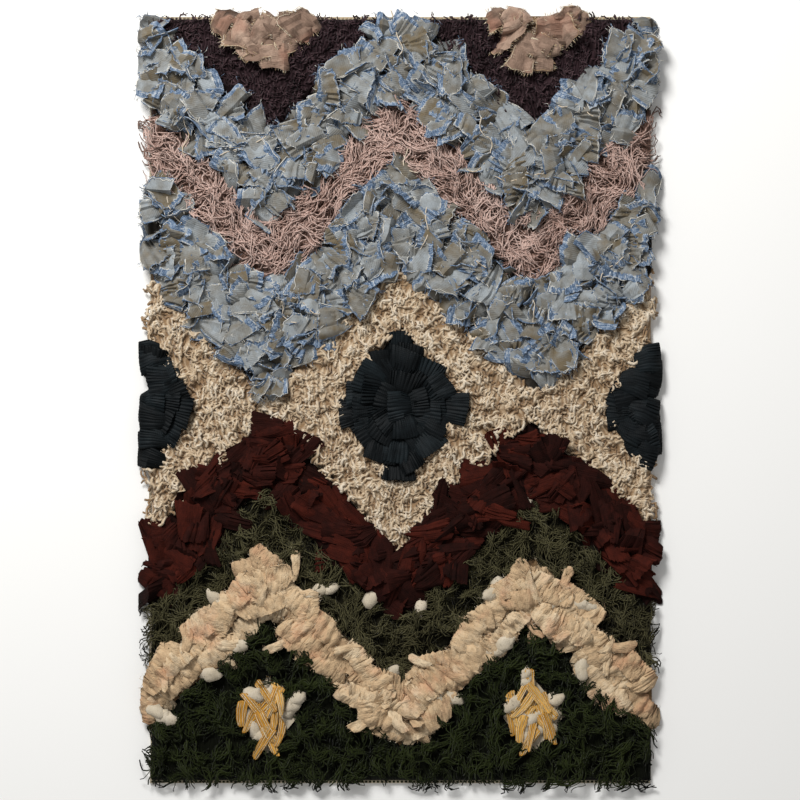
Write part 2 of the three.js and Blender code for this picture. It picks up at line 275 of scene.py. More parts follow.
def shares(count, border):
    """Places across a rag from 0 to 1, with one line close to each edge."""
    return np.concatenate(([0], np.linspace(border, 1 - border, count - 2), [1]))


def grid_of(columns, rows, border):
    """How far across and along a rag each place of its grid is."""
    return np.meshgrid(shares(columns, border), shares(rows, border), indexing="ij")


def rag_surface(rng, form):
    """The middle surface of one rag as a grid of points about its middle, and its cloth grid.
    round: how far its corners are drawn in. jag: unevenness of the cut. gather: width at its head.
    sway: how far it bends to one side. curl: how far it rolls up. open, over, fold: the shares of
    rags that are folded with their ends up, and with the fold on top, and the angle of the fold.
    dome: how far the edges hang down. crumple, wave: height and length of its waves. pleat, pleated,
    waver: height of the folds along it, the shares of it that they have, and how uneven they run.
    creases, crease: how many sharp folds it has, and their angles. Angles are in degrees."""
    length, width = rng.uniform(*form["length"]), rng.uniform(*form["width"])
    u, v = grid_of(form["columns"], form["rows"], form["border"])
    taper, skew, bow = form["skew"] * rng.uniform(-1, 1, 3)
    narrow = form["gather"] + (1 - form["gather"]) * v
    across = (u - 0.5) * width * narrow * (1 + taper * (v - 0.5))
    across = across + rng.uniform(-1, 1) * form["sway"] * (2 * v - 1) ** 2
    along = (v - 0.5) * length * (1 + bow * (u - 0.5)) + skew * across
    drawn_in = 1 - form["round"] * ((2 * u - 1) * (2 * v - 1)) ** 2
    across, along = across * drawn_in, along * drawn_in
    across = across + rng.normal(0, form["jag"], u.shape) * (np.abs(u - 0.5) == 0.5)
    along = along + rng.normal(0, form["jag"], u.shape) * (np.abs(v - 0.5) == 0.5)
    cloth = np.stack((across, along), axis=-1)
    lift = -form["dome"] * rng.uniform(0.3, 1.2) * ((2 * u - 1) ** 4 + (2 * v - 1) ** 4) / 2
    if form["pleat"]:
        uneven = 0.3 * np.sin(u * 9 + rng.uniform(0, 6))
        turn = u * width / form["pleat_pitch"] + uneven + rng.random()
        sweep = rng.uniform(3, 3 + 3 * form["waver"]) * v + rng.uniform(0, 9 * form["waver"]) * u
        turn = turn + form["waver"] * np.sin(sweep + rng.uniform(0, 6))
        height = form["pleat"] * rng.uniform(*form["pleated"]) * (0.5 + 0.5 * v)
        lift += height * (2 * np.abs(np.sin(math.pi * turn)) - 1)
    for _ in range(3):
        way = rng.uniform(0, 2 * math.pi)
        wave = form["wave"] * rng.uniform(0.6, 1.6)
        along_wave = (across * math.cos(way) + along * math.sin(way)) / wave
        lift += form["crumple"] * np.sin(2 * math.pi * along_wave + rng.uniform(0, 2 * math.pi)) / 2
    # The rag is rolled about a line that runs any way across it, and may be folded along it.
    way = rng.uniform(0, 2 * math.pi)
    over = across * math.cos(way) + along * math.sin(way)
    side = across * math.sin(way) - along * math.cos(way)
    reach = np.linspace(-length, length, ROLL_STEPS)
    bend = math.radians(rng.uniform(*form["curl"])) * reach / length
    kind = rng.random()
    if kind < form["open"] + form["over"]:
        fold = math.radians(rng.uniform(*form["fold"])) * (1 if kind < form["open"] else -1)
        line = rng.uniform(-0.15, 0.15) * length
        bend = bend + fold * np.tanh((reach - line) / FOLD_RADIUS)
    else:
        bend -= np.interp(0, reach, bend)
    step = reach[1] - reach[0]
    out, up = np.cumsum(np.cos(bend)) * step, np.cumsum(np.sin(bend)) * step
    turned = np.interp(over, reach, bend)
    out_at = np.interp(over, reach, out) - lift * np.sin(turned)
    up_at = np.interp(over, reach, up) + lift * np.cos(turned)
    x = side * math.sin(way) + out_at * math.cos(way)
    y = out_at * math.sin(way) - side * math.cos(way)
    surface = np.stack((x, y, up_at), axis=-1)
    for _ in range(rng.integers(form["creases"][0], form["creases"][1] + 1)):
        surface = creased(rng, surface, form["crease"])
    return surface - surface.mean(axis=(0, 1)), cloth


def creased(rng, surface, angles):
    """A rag folded sharply up or down along one of the lines of its grid."""
    turned = rng.random() < 0.5
    surface = np.swapaxes(surface, 0, 1).copy() if turned else surface.copy()
    line = rng.integers(2, len(surface) - 2)
    start = surface[line, 0]
    axis = surface[line, -1] - start
    axis /= np.linalg.norm(axis)
    angle = math.radians(rng.uniform(*angles)) * rng.choice((-1, 1))
    part = surface[line + 1 :] - start
    along = axis * (part @ axis)[..., None]
    surface[line + 1 :] = (start + along + (part - along) * math.cos(angle)
                           + np.cross(axis, part) * math.sin(angle))
    return np.swapaxes(surface, 0, 1) if turned else surface


def turned_about(surface, yaw, tilt):
    """A rag tilted up at its head, and then turned about the upright."""
    x, y, z = np.moveaxis(surface, -1, 0)
    y, z = y * math.cos(tilt) - z * math.sin(tilt), y * math.sin(tilt) + z * math.cos(tilt)
    x, y = x * math.cos(yaw) - y * math.sin(yaw), x * math.sin(yaw) + y * math.cos(yaw)
    return np.stack((x, y, z), axis=-1)


def between(surface):
    """A rag's points with the middles between them, close enough to cover the grid's cells."""
    for _ in range(2):
        middle = (surface[1:] + surface[:-1]) / 2
        surface = np.concatenate((surface, middle), axis=0)[np.argsort(
            np.concatenate((np.arange(len(surface)), np.arange(len(middle)) + 0.5)))]
        surface = np.swapaxes(surface, 0, 1)
    return surface


def laid_rags(rng, places, form, ways, spread, tilt):
    """Rags let down one after another on what lies there, each on most of what is under it.
    ways, spread: the way that each points, and how far it strays. tilt: how far heads are up."""
    rags, cloths = [], []
    for place, way in zip(places, ways):
        surface, cloth = rag_surface(rng, form)
        lean = math.radians(rng.uniform(*tilt))
        surface = turned_about(surface, way + rng.uniform(-1, 1) * spread, lean)
        surface[..., :2] += place
        surface = drooping(surface)
        points = between(surface)
        cells = cells_at(points)
        base = np.percentile(HEIGHT[cells] - points[..., 2], SETTLED)
        base = min(base, TOP_OF_RAGS - points[..., 2].max())
        surface[..., 2] += base
        past = OWNER[cells_at(surface)] < 0
        surface[..., 2] = np.maximum(surface[..., 2], np.where(past, LOWEST, SEAT + LOWEST))
        np.maximum.at(HEIGHT, cells, points[..., 2] + base + form["thick"])
        rags.append(surface)
        cloths.append(cloth)
    return np.array(rags), np.array(cloths)


def together(laid, more):
    """Rags that were laid first and rags that were laid later, as one set."""
    return tuple(np.concatenate(pair) for pair in zip(laid, more)) if len(more[0]) else laid


RIM_REACH, RIM_SINK = 15 * MM, 9 * MM


def drooping(places):
    """Ends that stand out past the rug's edge, held to the reach of the rim and sinking there."""
    middle, half = (GROUND_HIGH + GROUND_LOW)[:2] / 2, (GROUND_HIGH - GROUND_LOW)[:2] / 2
    offset = places[..., :2] - middle
    past = np.maximum(np.abs(offset) - half, 0)
    held = RIM_REACH * np.tanh(past / RIM_REACH)
    places[..., :2] = middle + np.sign(offset) * (np.abs(offset) - past + held)
    places[..., 2] -= RIM_SINK * (held.max(axis=-1) / RIM_REACH) ** 1.5
    return places


def bare_places(rng, names, spacing):
    """Places over some fields where nothing lies on the bed yet."""
    places = scattered(rng, names, spacing, 1 * MM)
    return places[(HEIGHT - BED)[cells_at(places)] < 0.5 * MM]


def joined(name, shapes, faces, layouts, values):
    """One mesh of many like shapes, each with its own patch of the map that a bake is made on.
    faces: corner numbers of one shape's quads and triangles. layouts: their places in a patch."""
    count, size = shapes.shape[:2]
    first = (np.arange(count) * size)[:, None, None]
    corners = [(first + face).reshape(-1, face.shape[1]) for face in faces]
    starts, so_far = [], 0
    for corner in corners:
        starts.append(so_far + np.arange(len(corner)) * corner.shape[1])
        so_far += corner.size
    mesh = bpy.data.meshes.new(name)
    mesh.vertices.add(count * size)
    mesh.vertices.foreach_set("co", shapes.astype(np.float32).ravel())
    mesh.loops.add(so_far)
    mesh.loops.foreach_set("vertex_index", np.concatenate([c.ravel() for c in corners]))
    mesh.polygons.add(sum(len(start) for start in starts))
    mesh.polygons.foreach_set("loop_start", np.concatenate(starts))
    mesh.polygons.foreach_set("use_smooth", np.ones(len(mesh.polygons), dtype=bool))
    for key, value in values.items():
        kind, field = ("FLOAT_VECTOR", "vector") if value.ndim == 3 else ("FLOAT", "value")
        store = mesh.attributes.new(key, kind, "POINT")
        store.data.foreach_set(field, value.astype(np.float32).ravel())
    columns = math.ceil(math.sqrt(count))
    patch = np.stack((np.arange(count) % columns, np.arange(count) // columns), axis=-1)
    spots = [(patch[:, None, None] + 0.04 + 0.92 * layout) / columns for layout in layouts]
    layer = mesh.uv_layers.new(name="OFBake")
    flat = np.concatenate([spot.reshape(-1) for spot in spots])
    layer.data.foreach_set("uv", flat.astype(np.float32))
    mesh.update(calc_edges=True)
    mesh.validate()
    return mesh


def rim_of(columns, rows):
    """The grid places round a rag, in order."""
    there = [(i, 0) for i in range(columns)] + [(columns - 1, j) for j in range(1, rows)]
    back = [(i, rows - 1) for i in range(columns - 2, -1, -1)]
    return np.array(there + back + [(0, j) for j in range(rows - 2, 0, -1)])


def rag_mesh(name, rags, cloths, form, values):
    """Rags with both their faces and their cut edge. face: 1 on the front and 0 on the back.
    depth: 0 down at the knots and 1 at the top. values: others, for each rag or each grid place."""
    count, columns, rows = rags.shape[:3]
    normal = np.cross(np.gradient(rags, axis=1), np.gradient(rags, axis=2))
    normal /= np.linalg.norm(normal, axis=-1, keepdims=True) + 1e-12
    front, back = rags + normal * form["thick"] / 2, rags - normal * form["thick"] / 2
    shapes = np.concatenate((front, back), axis=1).reshape(count, -1, 3)
    grid = columns * rows
    i, j = np.meshgrid(np.arange(columns - 1), np.arange(rows - 1), indexing="ij")
    a = (i * rows + j).ravel()
    up = np.stack((a, a + rows, a + rows + 1, a + 1), axis=-1)
    down = up[:, ::-1] + grid
    rim = rim_of(columns, rows)
    edge = rim[:, 0] * rows + rim[:, 1]
    after = np.roll(edge, -1)
    wall = np.stack((after, edge, edge + grid, after + grid), axis=-1)
    # In a rag's patch of the map the front lies left, the back right, and the cut edge above them.
    u, v = grid_of(columns, rows, form["border"])
    spot = np.stack((u, v), axis=-1).reshape(-1, 2) * (0.48, 0.94)
    step = np.arange(len(edge)) / len(edge)
    near = np.stack((step, np.full_like(step, 0.96)), axis=-1)
    ahead, beyond = np.array((1 / len(edge), 0)), np.array((0, 0.04))
    on_wall = np.stack((near + ahead, near, near + beyond, near + ahead + beyond), axis=1)
    layout = np.concatenate((spot[up], spot[down - grid] + (0.52, 0), on_wall))
    wide = np.concatenate((cloths, np.zeros(cloths.shape[:3] + (1,))), axis=-1)
    given = {
        "face": np.tile(np.repeat((1.0, 0.0), grid), (count, 1)),
        "cloth": np.concatenate((wide, wide), axis=1).reshape(count, -1, 3),
    }
    given["depth"] = np.clip((shapes[..., 2] - SEAT) / (TOP_OF_RAGS - SEAT - 6 * MM), 0, 1)
    for key, value in values.items():
        given[key] = np.tile(np.broadcast_to(value.reshape(count, -1), (count, grid)), 2)
    mesh = joined(name, shapes, [np.concatenate((up, down, wall))], [layout], given)
    mesh.set_sharp_from_angle(angle=math.radians(form["sharp"]))
    return mesh


NEARLY_UP = (0.05, 0.03, 1.0)  # a way that no strand runs exactly


def tube_mesh(name, paths, radius, sides, shade):
    """Round strands along many paths, drawn to a point at both ends. shade: of each strand, or of
    each point of it."""
    count, points = paths.shape[:2]
    along = np.gradient(paths, axis=1)
    along /= np.linalg.norm(along, axis=-1, keepdims=True) + 1e-12
    beside = np.cross(along, np.broadcast_to(NEARLY_UP, along.shape))
    beside /= np.linalg.norm(beside, axis=-1, keepdims=True) + 1e-12
    over = np.cross(beside, along)
    turn = (2 * math.pi * np.arange(sides) / sides)[:, None]
    ring = np.cos(turn) * beside[:, 1:-1, None] + np.sin(turn) * over[:, 1:-1, None]
    wide = np.broadcast_to(np.reshape(radius, (-1, 1, 1, 1)), (count, 1, 1, 1))
    rings = paths[:, 1:-1, None] + wide * ring
    shapes = np.concatenate((paths[:, :1], rings.reshape(count, -1, 3), paths[:, -1:]), axis=1)
    last = 1 + (points - 2) * sides
    i, k = np.meshgrid(np.arange(points - 3), np.arange(sides), indexing="ij")
    i, k = i.ravel(), k.ravel()
    here, after = 1 + i * sides + k, 1 + i * sides + (k + 1) % sides
    quads = np.stack((here, here + sides, after + sides, after), axis=-1)
    side = np.arange(sides)
    beyond = (side + 1) % sides
    start = np.stack((0 * side, 1 + side, 1 + beyond), axis=-1)
    end = np.stack((0 * side + last, last - sides + beyond, last - sides + side), axis=-1)

    def at(ring, side):
        return np.stack(np.broadcast_arrays(ring / (points - 1), side / sides), axis=-1)

    on_quads = np.stack((at(i + 1, k), at(i + 2, k), at(i + 2, k + 1), at(i + 1, k + 1)), axis=1)
    on_start = np.stack((at(0, side + 0.5), at(1, side), at(1, side + 1)), axis=1)
    on_end = np.stack((at(points - 1, side + 0.5), at(points - 2, side + 1),
                       at(points - 2, side)), axis=1)
    ring_of = np.concatenate(([0], np.repeat(np.arange(1, points - 1), sides), [points - 1]))
    shade = np.broadcast_to(np.atleast_2d(shade.T).T, (count, points))[:, ring_of]
    return joined(name, shapes, [quads, np.concatenate((start, end))],
                  [on_quads, np.concatenate((on_start, on_end))], {"shade": shade})


def threads_placed(name, paths, radius, shade, material, sides=3):
    """A piece of loose threads, which stands for no solid of its own."""
    placed(name, tube_mesh(name, paths, radius, sides, shade), material, None)


FRAY_ROOT, FRAY_SAG = 2 * MM, 0.25  # how deep a thread is rooted, and its sag for its length


def frayed(rng, rags, per_rag, reach, curl):
    """Loose threads out of the cut edges of rags, as paths of three points.
    reach: the least and most length of a thread. curl: how far it bends, as a share of that."""
    count, columns, rows = rags.shape[:3]
    rim = rim_of(columns, rows)
    inner = np.clip(rim, 1, (columns - 2, rows - 2))
    pick = rng.integers(0, len(rim), (count, per_rag))
    after = (pick + 1) % len(rim)
    share = rng.random((count, per_rag, 1))
    rag = np.arange(count)[:, None]
    edges = rags[:, rim[:, 0], rim[:, 1]]
    within = rags[:, inner[:, 0], inner[:, 1]]
    root = edges[rag, pick] * (1 - share) + edges[rag, after] * share
    out = root - (within[rag, pick] * (1 - share) + within[rag, after] * share)
    out /= np.linalg.norm(out, axis=-1, keepdims=True) + 1e-12
    length = rng.uniform(*reach, (count, per_rag, 1))
    stray = rng.normal(0, curl, (2, count, per_rag, 3)) * length
    sag = np.array((0, 0, FRAY_SAG)) * length
    steps = [root - FRAY_ROOT * out, root + 0.5 * length * out + stray[0] - 0.3 * sag,
             root + length * out + stray[1] - sag]
    paths = np.stack(steps, axis=2).reshape(-1, 3, 3)
    paths[..., 2] = np.clip(paths[..., 2], LOWEST, TOP_OF_RAGS + 3 * MM)
    return paths


EDGE_POINTS, EDGE_LIFT = 9, 0.7 * MM


def edge_threads(rng, rags, each):
    """Loose weft threads along part of the edge of each rag, a little in from it."""
    count, columns, rows = rags.shape[:3]
    rim = rim_of(columns, rows)
    inner = np.clip(rim, 1, (columns - 2, rows - 2))
    rag = np.arange(count)[:, None]
    paths = []
    for _ in range(each):
        start = rng.integers(0, len(rim), (count, 1))
        pick = (start + np.arange(EDGE_POINTS)) % len(rim)
        edge = rags[rag, rim[pick][..., 0], rim[pick][..., 1]]
        within = rags[rag, inner[pick][..., 0], inner[pick][..., 1]]
        share = np.clip(rng.normal(0.25, 0.25, (count, EDGE_POINTS, 1)), -0.3, 0.8)
        paths.append(edge * (1 - share) + within * share + (0, 0, EDGE_LIFT))
    return np.concatenate(paths)


BARE_SHARE = 0.33  # the share of cut edges that the coat stops well short of
BARE_WIDE, BARE_NARROW = (4, 9), (0, 1.6)  # widths of those edges and of the others, in millimetres


def bare_border(rng, cloths):
    """How far each place on a rag lies inside the edge of its coat, in millimetres. The coat stops
    well short of one or two of the four cut edges, and reaches nearly to the others."""
    across, along = np.moveaxis(cloths, -1, 0)
    inside = np.stack((across - across[:, :1], across[:, -1:] - across,
                       along - along[:, :, :1], along[:, :, -1:] - along))
    wide = rng.random((4, len(cloths))) < BARE_SHARE
    bare = np.where(wide, rng.uniform(*BARE_WIDE, wide.shape), rng.uniform(*BARE_NARROW, wide.shape))
    return (inside / MM - bare[..., None, None]).min(axis=0)


def bed_of(name, nodes, material, share=BED_SHARE):
    """The close-set roots of a field's knots: its solid, pressed down to the height of the bed."""
    shape = bmesh.new()
    for node in nodes:
        shape.from_mesh(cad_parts[node].data)
    bmesh.ops.remove_doubles(shape, verts=shape.verts, dist=0.01 * MM)
    for vertex in shape.verts:
        flat = np.clip(vertex.co[:2], GROUND_LOW[:2], GROUND_HIGH[:2])
        vertex.co = (*flat, SEAT + max(share * (vertex.co.z - SEAT), 0))
    bmesh.ops.dissolve_degenerate(shape, dist=0.05 * MM, edges=shape.edges[:])
    mesh = bpy.data.meshes.new(name)
    shape.to_mesh(mesh)
    shape.free()
    shade = mesh.attributes.new("shade", "FLOAT", "POINT")
    shade.data.foreach_set("value", np.full(len(mesh.vertices), 0.5, dtype=np.float32))
    return placed(name, mesh, material, None)


def toned(material, colours, fac):
    """Three sRGB colours from dark to light, mixed by a value from 0 to 1."""
    ramp = add(material, "ShaderNodeValToRGB", {"Fac": fac})
    ramp.color_ramp.elements.new(0.5)
    for stop, colour in zip(ramp.color_ramp.elements, colours):
        stop.color = linear(colour)
    return ramp.outputs["Color"]


def shaded_to_roots(material, colour, least):
    """A colour with painted shade: darker the lower it lies, towards the roots."""
    depth = add(material, "ShaderNodeAttribute", attribute_name="depth").outputs["Fac"]
    share = add(material, "ShaderNodeMapRange", {"Value": depth, "From Max": 0.7, "To Min": least})
    return add(material, "ShaderNodeMix", {
        "Factor": 1.0, 6: colour, 7: share.outputs["Result"],
    }, data_type="RGBA", blend_type="MULTIPLY").outputs[2]


def yarn(name, colours, fibre, blotch, roughness=0.95, sheen=0.2, matting=1.0):
    """Spun yarn: matt, each length of it a little lighter or darker, with a fuzz of fine fibre.
    colours: dark, middle and light. fibre: width of the fuzz, which is drawn many times as coarse
    as real fibre of 0.03 mm, so that it shows. blotch: width of uneven dyeing. matting: how clearly
    the fibre lies in lines."""
    material = started(name)
    place = add(material, "ShaderNodeTexCoord").outputs["Object"]
    shade = add(material, "ShaderNodeAttribute", attribute_name="shade").outputs["Fac"]
    dye = add(material, "ShaderNodeTexNoise", {"Vector": place, "Scale": 1 / blotch, "Detail": 3.0})
    fuzz = add(material, "ShaderNodeTexNoise", {"Vector": place, "Scale": 1 / fibre, "Detail": 2.0})
    # Matted fibre lies in winding lines, drawn a few times as wide as the fuzz.
    matted = add(material, "ShaderNodeTexWave", {
        "Vector": place, "Scale": LINES / (3 * fibre), "Distortion": 36.0, "Detail": 2.0,
        "Detail Scale": 0.3,
    })
    tone = add(material, "ShaderNodeMath", {0: dye.outputs["Fac"], 1: 0.7, 2: -0.35},
               operation="MULTIPLY_ADD")
    relief = add(material, "ShaderNodeMath", {
        0: matted.outputs["Fac"], 1: matting, 2: fuzz.outputs["Fac"],
    }, operation="MULTIPLY_ADD")
    speck = add(material, "ShaderNodeMath", {
        0: relief.outputs["Value"], 1: 0.4, 2: -0.2 - 0.2 * matting,
    }, operation="MULTIPLY_ADD")
    mixed = add(material, "ShaderNodeMath", {0: tone.outputs["Value"], 1: speck.outputs["Value"]})
    mixed = add(material, "ShaderNodeMath", {0: mixed.outputs["Value"], 1: shade})
    colour = toned(material, colours, mixed.outputs["Value"])
    bump = add(material, "ShaderNodeBump", {
        "Height": relief.outputs["Value"], "Strength": 0.7, "Distance": 0.6 * fibre,
    })
    return finished(material, colour, bump.outputs["Normal"], roughness, sheen)


SLANT_LINES = 0.444  # the scale at which a wave texture draws slanting lines 1 m apart
TWILL_PITCH = 2.4 * MM


def denim_cloth():
    """Denim with a worn pale coat on its face: twill lines show faintly through it. Along the raw
    edges, where the coat stops in a pale broken line, tufts of blue and white threads lie bare."""
    material = started("coated_denim")
    place = add(material, "ShaderNodeTexCoord").outputs["Object"]
    cloth = add(material, "ShaderNodeAttribute", attribute_name="cloth").outputs["Vector"]
    border = add(material, "ShaderNodeAttribute", attribute_name="border").outputs["Fac"]
    face = add(material, "ShaderNodeAttribute", attribute_name="face").outputs["Fac"]
    shade = add(material, "ShaderNodeAttribute", attribute_name="shade").outputs["Fac"]
    cloud = add(material, "ShaderNodeTexNoise", {
        "Vector": place, "Scale": 1 / (14 * MM), "Detail": 4.0,
    })
    # Bare threads are about 0.5 mm thick. They are drawn thicker so that they show at all.
    fluff = add(material, "ShaderNodeTexNoise", {
        "Vector": place, "Scale": 1 / (2.6 * MM), "Detail": 3.0, "Distortion": 1.2,
    })
    drawn = add(material, "ShaderNodeMapping", {"Vector": cloth, "Scale": (1, 0.16, 0)})
    thread = add(material, "ShaderNodeTexNoise", {
        "Vector": drawn.outputs["Vector"], "W": shade, "Scale": 1 / (1.6 * MM), "Detail": 2.0,
        "Distortion": 0.5,
    }, noise_dimensions="4D")
    tuft = add(material, "ShaderNodeMath", {0: thread.outputs["Fac"], 1: fluff.outputs["Fac"]})
    spread = add(material, "ShaderNodeMapRange", {
        "Value": tuft.outputs["Value"], "From Min": 0.72, "From Max": 1.32,
    })
    blue = toned(material, ("#2c3b4e", "#64778f", "#bec1c1"), spread.outputs["Result"])
    tone = add(material, "ShaderNodeMath", {0: cloud.outputs["Fac"], 1: 1.5, 2: -0.75},
               operation="MULTIPLY_ADD")
    tone = add(material, "ShaderNodeMath", {0: tone.outputs["Value"], 1: shade})
    coat = toned(material, ("#6a5f4c", "#7d7c77", "#959b9e"), tone.outputs["Value"])
    faded = add(material, "ShaderNodeMapRange", {
        "Value": fluff.outputs["Fac"], "From Min": 0.25, "From Max": 0.75,
        "To Min": 0.8, "To Max": 1.12,
    })
    coat = add(material, "ShaderNodeMix", {
        "Factor": 1.0, 6: coat, 7: faded.outputs["Result"],
    }, data_type="RGBA", blend_type="MULTIPLY")
    # The coat's edge wanders by 2 mm or so, and is further in on the back.
    wander = add(material, "ShaderNodeMath", {0: thread.outputs["Fac"], 1: 8.0, 2: -4.0},
                 operation="MULTIPLY_ADD")
    within = add(material, "ShaderNodeMath", {0: border, 1: wander.outputs["Value"]})
    back = add(material, "ShaderNodeMapRange", {"Value": face, "To Min": -9.0, "To Max": 0.0})
    within = add(material, "ShaderNodeMath", {0: within.outputs["Value"], 1: back.outputs["Result"]})
    covered = add(material, "ShaderNodeMapRange", {
        "Value": within.outputs["Value"], "From Min": -0.2, "From Max": 0.5,
    })
    colour = add(material, "ShaderNodeMix", {
        "Factor": covered.outputs["Result"], 6: blue, 7: coat.outputs[2],
    }, data_type="RGBA")
    line = add(material, "ShaderNodeMapRange", {
        "Value": within.outputs["Value"], "From Min": -0.7, "From Max": 1.1, "To Max": 2.0,
    })
    line = add(material, "ShaderNodeMath", {0: line.outputs["Result"], 1: 1.0}, operation="PINGPONG")
    broken = add(material, "ShaderNodeMapRange", {
        "Value": cloud.outputs["Fac"], "From Min": 0.46, "From Max": 0.6, "To Max": 0.75,
    })
    line = add(material, "ShaderNodeMath", {0: line.outputs["Value"], 1: broken.outputs["Result"]},
               operation="MULTIPLY")
    colour = add(material, "ShaderNodeMix", {
        "Factor": line.outputs["Value"], 6: colour.outputs[2], 7: linear("#d6d1c4"),
    }, data_type="RGBA")
    # Twill lines lie a good 1 mm apart. They are drawn at 2.4 mm so that they show.
    twill = add(material, "ShaderNodeTexWave", {
        "Vector": cloth, "Scale": SLANT_LINES / TWILL_PITCH, "Distortion": 0.6,
    }, bands_direction="DIAGONAL")
    relief = add(material, "ShaderNodeMath", {0: fluff.outputs["Fac"], 1: 2.0, 2: twill.outputs["Fac"]},
                 operation="MULTIPLY_ADD")
    bump = add(material, "ShaderNodeBump", {
        "Height": relief.outputs["Value"], "Strength": 0.45, "Distance": 0.5 * MM,
    })
    crease = add(material, "ShaderNodeTexNoise", {
        "Vector": cloth, "W": shade, "Scale": 1 / (22 * MM), "Detail": 2.0,
    }, noise_type="RIDGED_MULTIFRACTAL", noise_dimensions="4D")
    bump = add(material, "ShaderNodeBump", {
        "Height": crease.outputs["Fac"], "Normal": bump.outputs["Normal"], "Distance": 1.0 * MM,
    })
    # Painted shade: the cloth is darker the lower it lies, down to 0.35 of its colour at the knots.
    colour = shaded_to_roots(material, colour.outputs[2], least=0.35)
    return finished(material, colour, bump.outputs["Normal"], roughness=0.85, sheen=0.05)


denim_material = denim_cloth()
# The knots between the rags are painted as shade from the rags over them: a dark warm grey without
# gloss.
denim_root = yarn("denim_roots", ("#1f1c19", "#332f2a", "#4a443c"), fibre=3 * MM, blotch=20 * MM,
                  sheen=0.0)
# Cotton threads out of the twill: blue warps, dyed only skin-deep, and white wefts.
denim_thread = yarn("denim_threads", ("#33445a", "#6d8199", "#d2cdc1"), fibre=1.5 * MM,
                    blotch=20 * MM, roughness=0.9, sheen=0.1)
for seed, band in ((11, "upper"), (12, "lower")):
    rng = np.random.default_rng(seed)
    node = f"denim_rags_{band}"
    places = scattered(rng, [node], DENIM["spacing"], DENIM["inset"])
    ways = rng.uniform(0, 2 * math.pi, len(places))
    flat = round(FLAT_SHARE * len(places))
    single = laid_rags(rng, places[:flat], DENIM, ways[:flat], 0, DENIM["tilt"])
    bunches = laid_rags(rng, places[flat:], BUNCH, ways[flat:], 0, BUNCH["tilt"])
    places = bare_places(rng, [node], DENIM["fill"])
    ways = rng.uniform(0, 2 * math.pi, len(places))
    single = together(single, laid_rags(rng, places, DENIM, ways, 0, DENIM["fill_tilt"]))
    for kind, form, (rags, cloths) in (("rags", DENIM, single), ("bunches", BUNCH, bunches)):
        mesh = rag_mesh(f"denim_{kind}_{band}_cloth", rags, cloths, form, {
            "shade": rng.uniform(0.1, 0.9, len(rags)), "border": bare_border(rng, cloths),
        })
        placed(f"denim_{kind}_{band}_cloth", mesh, denim_material, node)
        paths = frayed(rng, rags, *form["frays"])
        blue = rng.random(len(paths)) < BLUE_SHARE
        shade = np.where(blue, rng.uniform(0.2, 0.6, len(paths)), 0.95)
        threads_placed(f"denim_frays_{kind}_{band}", paths, 0.5 * MM, shade, denim_thread)
        paths = edge_threads(rng, rags, each=2)
        shade = rng.uniform(0.75, 1.2, len(paths))
        threads_placed(f"denim_edge_threads_{kind}_{band}", paths, 0.6 * MM, shade, denim_thread)
    bed_of(f"denim_knots_{band}", [node], denim_root)


# Pink yarn
# Dusty-pink cotton yarn, fine and soft. It is knotted into the ground in bunches, and their cut
# lengths fall over each other along the zigzag in a loose tangle.

PINK = {
    "spacing": 14 * MM, "mound": 11 * MM, "low": 7.5 * MM, "rise": 8 * MM, "deep": 0.9,
    "bunch": 7, "loose": 3 * MM, "length": (36 * MM, 90 * MM), "points": 11, "radius": 0.9 * MM,
    "along": True, "heading": 0.0, "swing": 0.6, "whorl": 45 * MM, "stray": 0.7, "splay": 0.16,
    "turn": 0.16, "crimp": 0.45, "curl": 24 * MM, "apart": 0.6, "loft": 6.5 * MM,
    "ripple": 1.4 * MM, "sunk": (0, 2), "own": 0.7, "sides": 3, "matted": 0.4,
}
MASS_STEP = 3  # the mass under the strands has a cell for this many cells of the grid each way


def mounded(rng, nodes, form):
    """The knots of some fields, and the heights of a field whose knots stand up as mounds.
    mound, low, rise: how wide the mounds are, where they start, and how far they rise."""
    knots = scattered(rng, nodes, form["spacing"], 1 * MM)
    surface = np.full(MAP_SIZE, form["low"])
    wide = round(form["mound"] / MAP_STEP)
    for knot in knots:
        column, row = cells_at(knot)
        columns = np.arange(max(column - wide, 0), min(column + wide + 1, MAP_SIZE[0]))
        rows = np.arange(max(row - wide, 0), min(row + wide + 1, MAP_SIZE[1]))
        x, y = MAP_LOW[0] + MAP_STEP * columns - knot[0], MAP_LOW[1] + MAP_STEP * rows - knot[1]
        away = (x[:, None] ** 2 + y[None] ** 2) / form["mound"] ** 2
        top = form["low"] + form["rise"] * (rng.uniform(0.5, 1) - away)
        window = np.ix_(columns, rows)
        surface[window] = np.maximum(surface[window], top)
    return knots, surface


